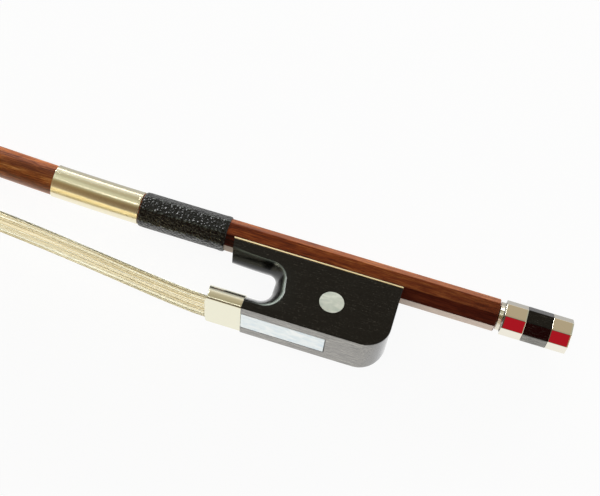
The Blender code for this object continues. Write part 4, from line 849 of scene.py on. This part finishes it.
def pernambuco():
    """Pernambuco, scraped and French polished: orange-brown streaks half a millimetre wide and
    millimetres long, broad bands over centimetres, short dark pores, under a thin hard gloss.
    From grip_x to end_x it grows darker towards the button. Painted shade darkens all but the facets turned
    up to the light from behind, the lower front facets most, and a painted reflection of the white table
    pales what faces the hair."""
    grip_x, end_x = 0.19, 0.34
    material, tree, shader = new_material(
        "polished_pernambuco", roughness=0.30, specular_ior_level=0.18,
        sheen_weight=0.5, sheen_roughness=0.35, sheen_tint=linear("#E8A070"))
    streak = add(tree, "ShaderNodeTexNoise", {
        "Vector": stretched(tree, 7.0, 0.45), "Scale": 1.0, "Detail": 5.0, "Roughness": 0.68}).outputs["Fac"]
    band = add(tree, "ShaderNodeTexNoise", {
        "Vector": stretched(tree, 90.0, 4.5), "Scale": 1.0, "Detail": 2.0}).outputs["Fac"]
    pore = add(tree, "ShaderNodeTexNoise", {
        "Vector": stretched(tree, 3.2, 0.22), "Scale": 1.0, "Detail": 2.0}).outputs["Fac"]
    both = add(tree, "ShaderNodeMath", {0: streak, 1: band}, operation="ADD").outputs[0]
    half = add(tree, "ShaderNodeMath", {0: both, 1: 0.5}, operation="MULTIPLY").outputs[0]
    grain = add(tree, "ShaderNodeValToRGB", {"Fac": half}, stops=(
        (0.36, "#4A220D"), (0.46, "#84411C"), (0.55, "#BE7038"), (0.66, "#F8BE77"))).outputs["Color"]
    dark = add(tree, "ShaderNodeValToRGB", {"Fac": pore}, stops=(
        (0.28, "#6E6058"), (0.40, "#FFFFFF"))).outputs["Color"]
    colour = add(tree, "ShaderNodeMix", {"Factor": 0.8, COLOUR_A: grain, COLOUR_B: dark},
                 data_type="RGBA", blend_type="MULTIPLY").outputs[MIXED]
    coordinates = add(tree, "ShaderNodeTexCoord").outputs
    x = add(tree, "ShaderNodeSeparateXYZ", {0: coordinates["Object"]}).outputs["X"]
    facing = add(tree, "ShaderNodeSeparateXYZ", {0: coordinates["Normal"]}).outputs["Y"]
    along = add(tree, "ShaderNodeMapRange", {
        "Value": x, "From Min": grip_x, "From Max": end_x}).outputs[0]
    # Darker from the grip towards the button
    grip_to_button_darkening = add(tree, "ShaderNodeValToRGB", {"Fac": along}, stops=(
        (0.0, "#FFFFFF"), (0.25, "#B8947C"), (0.70, "#9E7D68"), (1.0, "#825C4E"))).outputs["Color"]
    # Painted shade: the facets turned up to the light from behind are darkened least
    painted_shade_share = add(tree, "ShaderNodeMapRange", {
        "Value": facing, "From Min": 0.4, "From Max": 0.8, "To Min": 1.0, "To Max": 0.54}).outputs[0]
    colour = add(tree, "ShaderNodeMix", {"Factor": painted_shade_share, COLOUR_A: colour, COLOUR_B: grip_to_button_darkening},
                 data_type="RGBA", blend_type="MULTIPLY").outputs[MIXED]
    # Painted shade on the lower front facets past the grip
    low = add(tree, "ShaderNodeMapRange", {
        "Value": facing, "From Min": -0.25, "From Max": -0.50}).outputs[0]
    past_grip = add(tree, "ShaderNodeMapRange", {"Value": along, "From Max": 0.25}).outputs[0]
    painted_low_shade = add(tree, "ShaderNodeMath", {0: low, 1: past_grip}, operation="MULTIPLY").outputs[0]
    colour = add(tree, "ShaderNodeMix", {"Factor": painted_low_shade, COLOUR_A: colour, COLOUR_B: linear("#A07C84")},
                 data_type="RGBA", blend_type="MULTIPLY").outputs[MIXED]
    # Painted reflection of the white table on the faces turned to the hair, growing towards the button
    under = add(tree, "ShaderNodeMapRange", {
        "Value": facing, "From Min": -0.70, "From Max": -0.98}).outputs[0]
    amount = add(tree, "ShaderNodeMapRange", {
        "Value": along, "From Max": 0.36, "To Min": 0.25, "To Max": 0.90}).outputs[0]
    painted_reflection_share = add(tree, "ShaderNodeMath", {0: under, 1: amount}, operation="MULTIPLY").outputs[0]
    painted_reflection = add(tree, "ShaderNodeValToRGB", {"Fac": streak}, stops=(
        (0.35, "#A3948A"), (0.65, "#B8AA9B"))).outputs["Color"]
    colour = add(tree, "ShaderNodeMix", {"Factor": painted_reflection_share, COLOUR_A: colour, COLOUR_B: painted_reflection},
                 data_type="RGBA").outputs[MIXED]
    bump = add(tree, "ShaderNodeBump", {"Height": pore, "Strength": 0.15, "Distance": 0.00005})
    tree.links.new(colour, shader.inputs["Base Color"])
    tree.links.new(bump.outputs["Normal"], shader.inputs["Normal"])
    return material


def ebony():
    """Ebony rubbed and waxed: near black with fine grey-brown lines along the grain and small
    flecks, under two thin layers of gloss. A painted reflection of the white table greys the faces turned to
    the hair: those low on the frog, and all of them beyond button_x. The throat's rim has a painted
    highlight."""
    reflection_y, button_x = -0.008, 0.33
    material, tree, shader = new_material(
        "waxed_ebony", roughness=0.22, ior=1.25, coat_weight=1.0, coat_ior=1.25, coat_roughness=0.12)
    line = add(tree, "ShaderNodeTexNoise", {
        "Vector": stretched(tree, 5.0, 0.30), "Scale": 1.0, "Detail": 5.0, "Roughness": 0.75}).outputs["Fac"]
    fleck = add(tree, "ShaderNodeTexNoise", {
        "Vector": stretched(tree, 0.9, 0.55), "Scale": 1.0, "Detail": 4.0, "Roughness": 0.8}).outputs["Fac"]
    both = add(tree, "ShaderNodeMath", {0: line, 1: fleck}, operation="ADD").outputs[0]
    half = add(tree, "ShaderNodeMath", {0: both, 1: 0.5}, operation="MULTIPLY").outputs[0]
    colour = add(tree, "ShaderNodeValToRGB", {"Fac": half}, stops=(
        (0.38, "#000000"), (0.50, "#030202"), (0.57, "#161512"), (0.66, "#46433B"))).outputs["Color"]
    coordinates = add(tree, "ShaderNodeTexCoord").outputs
    place = add(tree, "ShaderNodeSeparateXYZ", {0: coordinates["Object"]}).outputs
    facing = add(tree, "ShaderNodeSeparateXYZ", {0: coordinates["Normal"]}).outputs["Y"]
    # Painted reflection of the white table on the faces turned to the hair
    under = add(tree, "ShaderNodeMapRange", {
        "Value": facing, "From Min": -0.55, "From Max": -0.97}).outputs[0]
    low = add(tree, "ShaderNodeMapRange", {
        "Value": place["Y"], "From Min": reflection_y, "From Max": reflection_y - 0.004}).outputs[0]
    button = add(tree, "ShaderNodeMath", {0: place["X"], 1: button_x}, operation="GREATER_THAN").outputs[0]
    where = add(tree, "ShaderNodeMath", {0: low, 1: button}, operation="MAXIMUM").outputs[0]
    painted_reflection_share = add(tree, "ShaderNodeMath", {0: under, 1: where}, operation="MULTIPLY").outputs[0]
    reflection_grey = add(tree, "ShaderNodeValToRGB", {"Fac": line}, stops=(
        (0.36, "#403E3A"), (0.50, "#64615B"), (0.64, "#908C83"))).outputs["Color"]
    colour = add(tree, "ShaderNodeMix", {"Factor": painted_reflection_share, COLOUR_A: colour, COLOUR_B: reflection_grey},
                 data_type="RGBA").outputs[MIXED]
    # Painted highlight along the throat's rim
    painted_highlight = add(tree, "ShaderNodeAttribute", attribute_name="painted_highlight").outputs["Fac"]
    colour = add(tree, "ShaderNodeMix", {"Factor": painted_highlight, COLOUR_A: colour, COLOUR_B: linear("#C4D0C6")},
                 data_type="RGBA").outputs[MIXED]
    bump = add(tree, "ShaderNodeBump", {"Height": half, "Strength": 0.60, "Distance": 0.00008})
    tree.links.new(colour, shader.inputs["Base Color"])
    tree.links.new(bump.outputs["Normal"], shader.inputs["Normal"])
    return material


def goat_leather():
    """Black goatskin, dyed and pressed: small pebbles with a low sheen, their crowns painted grey as a
    highlight along the handle's edges. Real pebbles are half a millimetre across or less. These
    are a third coarser and deeper, so that they show."""
    material, tree, shader = new_material(
        "black_goatskin", roughness=0.34, specular_ior_level=0.32, sheen_weight=0.4, sheen_roughness=0.4)
    place = stretched(tree, 0.66, 0.66)
    warp = add(tree, "ShaderNodeTexNoise", {"Vector": place, "Scale": 0.6, "Detail": 2.0}).outputs["Color"]
    moved = add(tree, "ShaderNodeMix", {"Factor": 0.25, 4: place, 5: warp}, data_type="VECTOR").outputs[1]
    pebble = add(tree, "ShaderNodeTexVoronoi", {"Vector": moved, "Scale": 1.0},
                 feature="SMOOTH_F1").outputs["Distance"]
    bump = add(tree, "ShaderNodeBump", {"Height": pebble, "Strength": 1.0, "Distance": 0.00048}, invert=True)
    rough = add(tree, "ShaderNodeMapRange", {"Value": pebble, "To Min": 0.10, "To Max": 0.36}).outputs[0]
    crown = add(tree, "ShaderNodeMapRange", {"Value": pebble, "From Min": 0.5, "From Max": 0.1}).outputs[0]
    # Painted highlight on the pebble crowns along the handle's edges
    painted_highlight = add(tree, "ShaderNodeAttribute", attribute_name="painted_highlight").outputs["Fac"]
    glinting_crowns = add(tree, "ShaderNodeMath", {0: crown, 1: painted_highlight}, operation="MULTIPLY").outputs[0]
    colour = add(tree, "ShaderNodeMix", {
        "Factor": glinting_crowns, COLOUR_A: linear("#040404"), COLOUR_B: linear("#8E968F")},
        data_type="RGBA").outputs[MIXED]
    tree.links.new(colour, shader.inputs["Base Color"])
    tree.links.new(bump.outputs["Normal"], shader.inputs["Normal"])
    tree.links.new(rough, shader.inputs["Roughness"])
    return material


def metal(name, code, roughness, scratch_mm):
    """A drawn or rolled metal after polishing: fine hairlines along the bow, thirty times as
    long as they are wide, that break up the gloss a little."""
    material, tree, shader = new_material(name, base_color=linear(code), metallic=1.0)
    hairline = add(tree, "ShaderNodeTexNoise", {
        "Vector": stretched(tree, scratch_mm * 30.0, scratch_mm), "Scale": 1.0, "Detail": 3.0}).outputs["Fac"]
    rough = add(tree, "ShaderNodeMapRange", {
        "Value": hairline, "To Min": roughness * 0.7, "To Max": roughness * 1.4}).outputs[0]
    tree.links.new(rough, shader.inputs["Roughness"])
    return material


def pearl(name, base, tint, warm):
    """Mother-of-pearl, ground flat and polished: milky layers whose colour drifts softly from
    cool to warm over a few millimetres, under a thin clear gloss."""
    material, tree, shader = new_material(name, roughness=0.18, coat_weight=0.5, coat_roughness=0.05)
    cloud = add(tree, "ShaderNodeTexNoise", {
        "Vector": stretched(tree, 5.0, 2.4), "Scale": 1.0, "Detail": 3.0, "Distortion": 0.8}).outputs["Fac"]
    colour = add(tree, "ShaderNodeValToRGB", {"Fac": cloud}, stops=(
        (0.34, tint), (0.50, base), (0.66, warm))).outputs["Color"]
    tree.links.new(colour, shader.inputs["Base Color"])
    return material


def horsehair():
    """Bleached horsehair: straw-white strands, each a little lighter or browner than the next,
    as its tone says."""
    material, tree, shader = new_material("bleached_horsehair", roughness=0.45)
    tone = add(tree, "ShaderNodeAttribute", attribute_name="tone").outputs["Fac"]
    colour = add(tree, "ShaderNodeValToRGB", {"Fac": tone}, stops=(
        (0.0, "#D0BF93"), (0.45, "#F0E7C5"), (1.0, "#FFFEEA"))).outputs["Color"]
    tree.links.new(colour, shader.inputs["Base Color"])
    return material


def plain(name, code, roughness, grain_mm):
    """Stuff with one colour and a soft grain, eight times as long as it is wide, that makes it a
    little lighter and darker: bone, bare maple or waxed thread."""
    material, tree, shader = new_material(name, roughness=roughness)
    grain = add(tree, "ShaderNodeTexNoise", {
        "Vector": stretched(tree, grain_mm * 8.0, grain_mm), "Scale": 1.0, "Detail": 3.0}).outputs["Fac"]
    value = add(tree, "ShaderNodeMapRange", {"Value": grain, "To Min": 0.75, "To Max": 1.2}).outputs[0]
    base = add(tree, "ShaderNodeHueSaturation", {"Color": linear(code), "Value": value})
    tree.links.new(base.outputs["Color"], shader.inputs["Base Color"])
    return material


# Studio

SQUARE = ((-1.0, -1.0), (1.0, -1.0), (1.0, 1.0), (-1.0, 1.0))


def stage_sheet(name, corners, material):
    """A flat four-cornered sheet that is part of the stage, not of the bow."""
    mesh = bpy.data.meshes.new(name)
    mesh.from_pydata(corners, [], [(0, 1, 2, 3)])
    mesh.materials.append(material)
    sheet = bpy.data.objects.new(name, mesh)
    bpy.context.scene.collection.objects.link(sheet)
    return sheet


def make_camera():
    """The photograph's viewpoint: half a metre off, looking down steeply from the hair's side.
    right, up and back are the camera's own axes, as they lie in the table's."""
    data = bpy.data.cameras.new("camera")
    data.lens = 80.951
    data.sensor_width = 36.0
    data.clip_start = 0.01
    camera = bpy.data.objects.new("camera", data)
    right = (0.955252, 0.295616, 0.010246)
    up = (-0.286745, 0.916975, 0.277371)
    back = (0.072600, -0.267897, 0.960708)
    place = (0.293477, -0.117009, 0.479084)
    rows = [(right[k], up[k], back[k], place[k]) for k in range(3)]
    camera.matrix_world = Matrix(rows + [(0.0, 0.0, 0.0, 1.0)])
    bpy.context.scene.collection.objects.link(camera)
    bpy.context.scene.camera = camera


def make_floor():
    """White table. It is bright in front of the bow and dimmer behind it, brighter still for soft
    light, plain white to the camera, and its own faint diffuse keeps the bow's shadow. The
    diffuse fades out a quarter to half a metre away."""
    half_side, level_z = 6.0, -0.0001
    material, tree, _ = new_material("white_table")
    coordinates = add(tree, "ShaderNodeTexCoord").outputs["Object"]
    y = add(tree, "ShaderNodeSeparateXYZ", {0: coordinates}).outputs["Y"]
    front = add(tree, "ShaderNodeMapRange", {
        "Value": y, "From Min": 0.018, "From Max": 0.006, "To Min": 0.50, "To Max": 0.96}).outputs[0]
    path = add(tree, "ShaderNodeLightPath").outputs
    strong = add(tree, "ShaderNodeMath", {0: front, 1: 1.45}, operation="MULTIPLY").outputs[0]
    level = add(tree, "ShaderNodeMix", {0: path["Is Diffuse Ray"], 2: front, 3: strong}).outputs[0]
    level = add(tree, "ShaderNodeMix", {0: path["Is Camera Ray"], 2: level, 3: 0.93}).outputs[0]
    glow = add(tree, "ShaderNodeEmission", {"Color": (1.0, 1.0, 1.0, 1.0), "Strength": level}).outputs[0]
    away = add(tree, "ShaderNodeMath", {0: y}, operation="ABSOLUTE").outputs[0]
    near = add(tree, "ShaderNodeMapRange", {
        "Value": away, "From Min": 0.25, "From Max": 0.50, "To Min": 0.09, "To Max": 0.0}).outputs[0]
    faint = add(tree, "ShaderNodeBsdfDiffuse", {"Color": near}).outputs[0]
    lit = add(tree, "ShaderNodeAddShader", {0: glow, 1: faint}).outputs[0]
    tree.links.new(lit, tree.nodes["Material Output"].inputs["Surface"])
    corners = [(x * half_side, y * half_side, level_z) for x, y in SQUARE]
    stage_sheet("table", corners, material)


def make_world():
    """A white room with a darker, warmer ceiling. The brightness follows the angle round the
    bow's length, from the white wall behind it, over the ceiling, to the white wall in front.
    middle is what lies square to the bow, sides what lies askew of it, and the ends are grey."""
    world = bpy.data.worlds.new("studio")
    bpy.context.scene.world = world
    world.use_nodes = True
    tree = world.node_tree
    direction = add(tree, "ShaderNodeTexCoord").outputs["Generated"]
    parts = add(tree, "ShaderNodeSeparateXYZ", {0: direction}).outputs
    angle = add(tree, "ShaderNodeMath", {0: parts["Z"], 1: parts["Y"]}, operation="ARCTAN2").outputs[0]
    turn = add(tree, "ShaderNodeMath", {0: angle, 1: math.pi}, operation="DIVIDE").outputs[0]
    middle = add(tree, "ShaderNodeValToRGB", {"Fac": turn}, stops=(
        (0.0, "#FFFFFF"), (0.05, "#F4ECE0"), (0.10, "#CFC4B0"), (0.16, "#B4A892"), (0.24, "#BFB29A"),
        (0.30, "#A99D86"), (0.38, "#A89C86"), (0.45, "#C0B8A4"), (0.50, "#C8C0B0"), (0.57, "#8C8270"),
        (0.65, "#4C4640"), (0.84, "#3C3834"), (0.90, "#94886F"), (0.95, "#E0DCD0"), (1.0, "#FFFFFF")))
    sides = add(tree, "ShaderNodeValToRGB", {"Fac": turn}, stops=(
        (0.0, "#FFFFFF"), (0.14, "#F0FAFF"), (0.18, "#B8BCAD"), (0.26, "#B5B5A4"), (0.32, "#C9CDBC"),
        (0.36, "#E9EFE2"), (0.44, "#E9EFE2"), (0.48, "#EEF4E7"), (0.51, "#C0C0A8"), (0.55, "#B3AA8A"),
        (0.59, "#A28F6B"), (0.66, "#9E8566"), (0.74, "#A49073"), (0.78, "#AE9C80"), (0.82, "#BFAF95"),
        (0.86, "#DDD1B8"), (0.90, "#EEE2C8"), (0.99, "#EEE7E1")))
    askew = add(tree, "ShaderNodeMath", {0: parts["X"]}, operation="ABSOLUTE").outputs[0]
    aside = add(tree, "ShaderNodeMapRange", {
        "Value": askew, "From Min": 0.185, "From Max": 0.205}).outputs[0]
    ends = add(tree, "ShaderNodeMapRange", {"Value": askew, "From Min": 0.65, "From Max": 0.90}).outputs[0]
    path = add(tree, "ShaderNodeLightPath").outputs
    room = middle.outputs["Color"]
    for factor, colour in (
        (aside, sides.outputs["Color"]), (ends, linear("#6A6660")),
        (path["Is Diffuse Ray"], linear("#9A9A96")), (path["Is Camera Ray"], (1.0, 1.0, 1.0, 1.0)),
    ):
        room = add(tree, "ShaderNodeMix", {"Factor": factor, COLOUR_A: room, COLOUR_B: colour},
                   data_type="RGBA").outputs[MIXED]
    background = tree.nodes["Background"]
    tree.links.new(room, background.inputs["Color"])
    background.inputs["Strength"].default_value = 1.0


def make_card():
    """A red card in front of the table, seen only in polished metal and varnish."""
    material, tree, _ = new_material("red_card")
    glow = add(tree, "ShaderNodeEmission", {"Color": linear("#B21A28"), "Strength": 1.0}).outputs[0]
    tree.links.new(glow, tree.nodes["Material Output"].inputs["Surface"])
    middle, half_width, half_height = np.array((0.460, -0.75, 0.735)), 0.14, 0.13
    across = np.array((half_width, 0.0, 0.0))
    lean = np.array((0.0, 0.64, 0.77)) * half_height
    card = stage_sheet("red_card", [(middle + x * across + y * lean).tolist() for x, y in SQUARE], material)
    card.visible_camera = False
    card.visible_diffuse = False
    card.visible_shadow = False


def make_lamp(name, place, aim, size, power, glint=False):
    """A soft rectangular lamp that points at the bow. A glint lamp shows only as a reflection,
    and the others give light but don't show in the metal."""
    data = bpy.data.lights.new(name, "AREA")
    data.shape = "RECTANGLE"
    data.size, data.size_y = size
    data.energy = power
    lamp = bpy.data.objects.new(name, data)
    away = Vector(place) - Vector(aim)
    lamp.matrix_world = Matrix.Translation(place) @ away.to_track_quat("Z", "Y").to_matrix().to_4x4()
    lamp.visible_glossy = glint
    lamp.visible_diffuse = not glint
    bpy.context.scene.collection.objects.link(lamp)


make_camera()
make_floor()
make_world()
make_card()
# Each lamp's place, the point it aims at, its width and height in metres, and its watts
make_lamp("window", (0.20, 0.98, 0.14), (0.20, 0.0, 0.0), (1.60, 0.26), 15.5)
make_lamp("front_low", (-0.10, -1.00, 0.06), (-0.10, 0.0, 0.0), (1.40, 0.12), 7.8)
make_lamp("back_left", (-0.42, 0.76, 0.41), (0.25, 0.0, 0.0), (0.35, 0.35), 6.0, glint=True)
make_lamp("back_strip", (-0.054, 0.98, 0.08), (0.18, 0.0, 0.0), (0.12, 0.13), 0.15, glint=True)
make_lamp("overhead", (0.11, 0.09, 1.30), (0.24, 0.0, 0.0), (0.16, 0.18), 0.4, glint=True)
make_lamp("front_right", (1.15, -0.55, 0.45), (0.25, 0.0, 0.0), (0.50, 0.40), 1.2, glint=True)

wood = pernambuco()
black = ebony()
# Nickel silver, bent and polished: pale, a little yellow, with soft-edged reflections
nickel = metal("polished_nickel_silver", "#ECE9D2", 0.20, 0.20)
# Nickel silver drawn to wire: the same metal, whose turns spread each reflection into a band
wire = metal("drawn_nickel_silver_wire", "#F0E8CC", 0.17, 0.20)
# Silver, turned and buffed: nearly a mirror, so each facet shows one part of the room
silver = metal("polished_silver", "#EDE8DA", 0.05, 0.25)
# Brass, rolled and polished, gone soft with handling: its edge is a thin pale gold line
brass = metal("polished_brass", "#F8E6BC", 0.50, 0.30)
# Steel as it comes off the lathe: plain grey with a broad gloss
steel = metal("turned_steel", "#B9B9BB", 0.28, 0.30)
# Mother-of-pearl: the slide's is cool and grey, the eyes' is warmer and lighter
slide_pearl = pearl("slide_mother_of_pearl", "#C2C9C9", "#B3BFC5", "#CDD0CE")
eye_pearl = pearl("eye_mother_of_pearl", "#CDD2C5", "#BEC6BA", "#DEE1D5")
# Bone, sawn and polished: cream with a soft gloss
bone = plain("polished_bone", "#E9E4D4", 0.30, 0.40)
# Maple, cut and left bare: pale brown and dull
maple = plain("bare_maple", "#C9A877", 0.60, 0.30)
# Thread, drawn through wax: dark red and dull
thread = plain("waxed_thread", "#7A2420", 0.70, 0.15)

make_stick(wood)
make_frog(black)
make_leather(goat_leather())
make_winding(wire)
make_ferrule(nickel)
make_tip_plates(black, bone)
make_eyes(eye_pearl)
make_lining_screws(steel)
make_button(silver, black)
make_hair(horsehair())
slide = slab(
    "slide_pearl",
    (FERRULE_REAR_X + PEARL_CLEARANCE, FROG_BOTTOM_Y - PEARL_PROUD, -SLIDE_HALF_WIDTH),
    (SLIDE_REAR_X, FROG_BOTTOM_Y + PEARL_THICKNESS, SLIDE_HALF_WIDTH),
    PEARL_SOFT_EDGE, slide_pearl, "frog", ["pearl_slide"])

# Solids that show as they are, or lie hidden, get only a material
for node, material in {
    "frog_lining": brass, "eyelet": brass,
    "slide_base": black, "frog_hair_knot": thread, "head_hair_knot": thread, "frog_wedge": maple,
    "spread_wedge": maple, "head_wedge": maple, "screw_shaft": steel,
}.items():
    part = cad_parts[node]
    part.data.materials.clear()
    part.data.materials.append(material)

scene = bpy.context.scene
scene.view_settings.view_transform = "Standard"
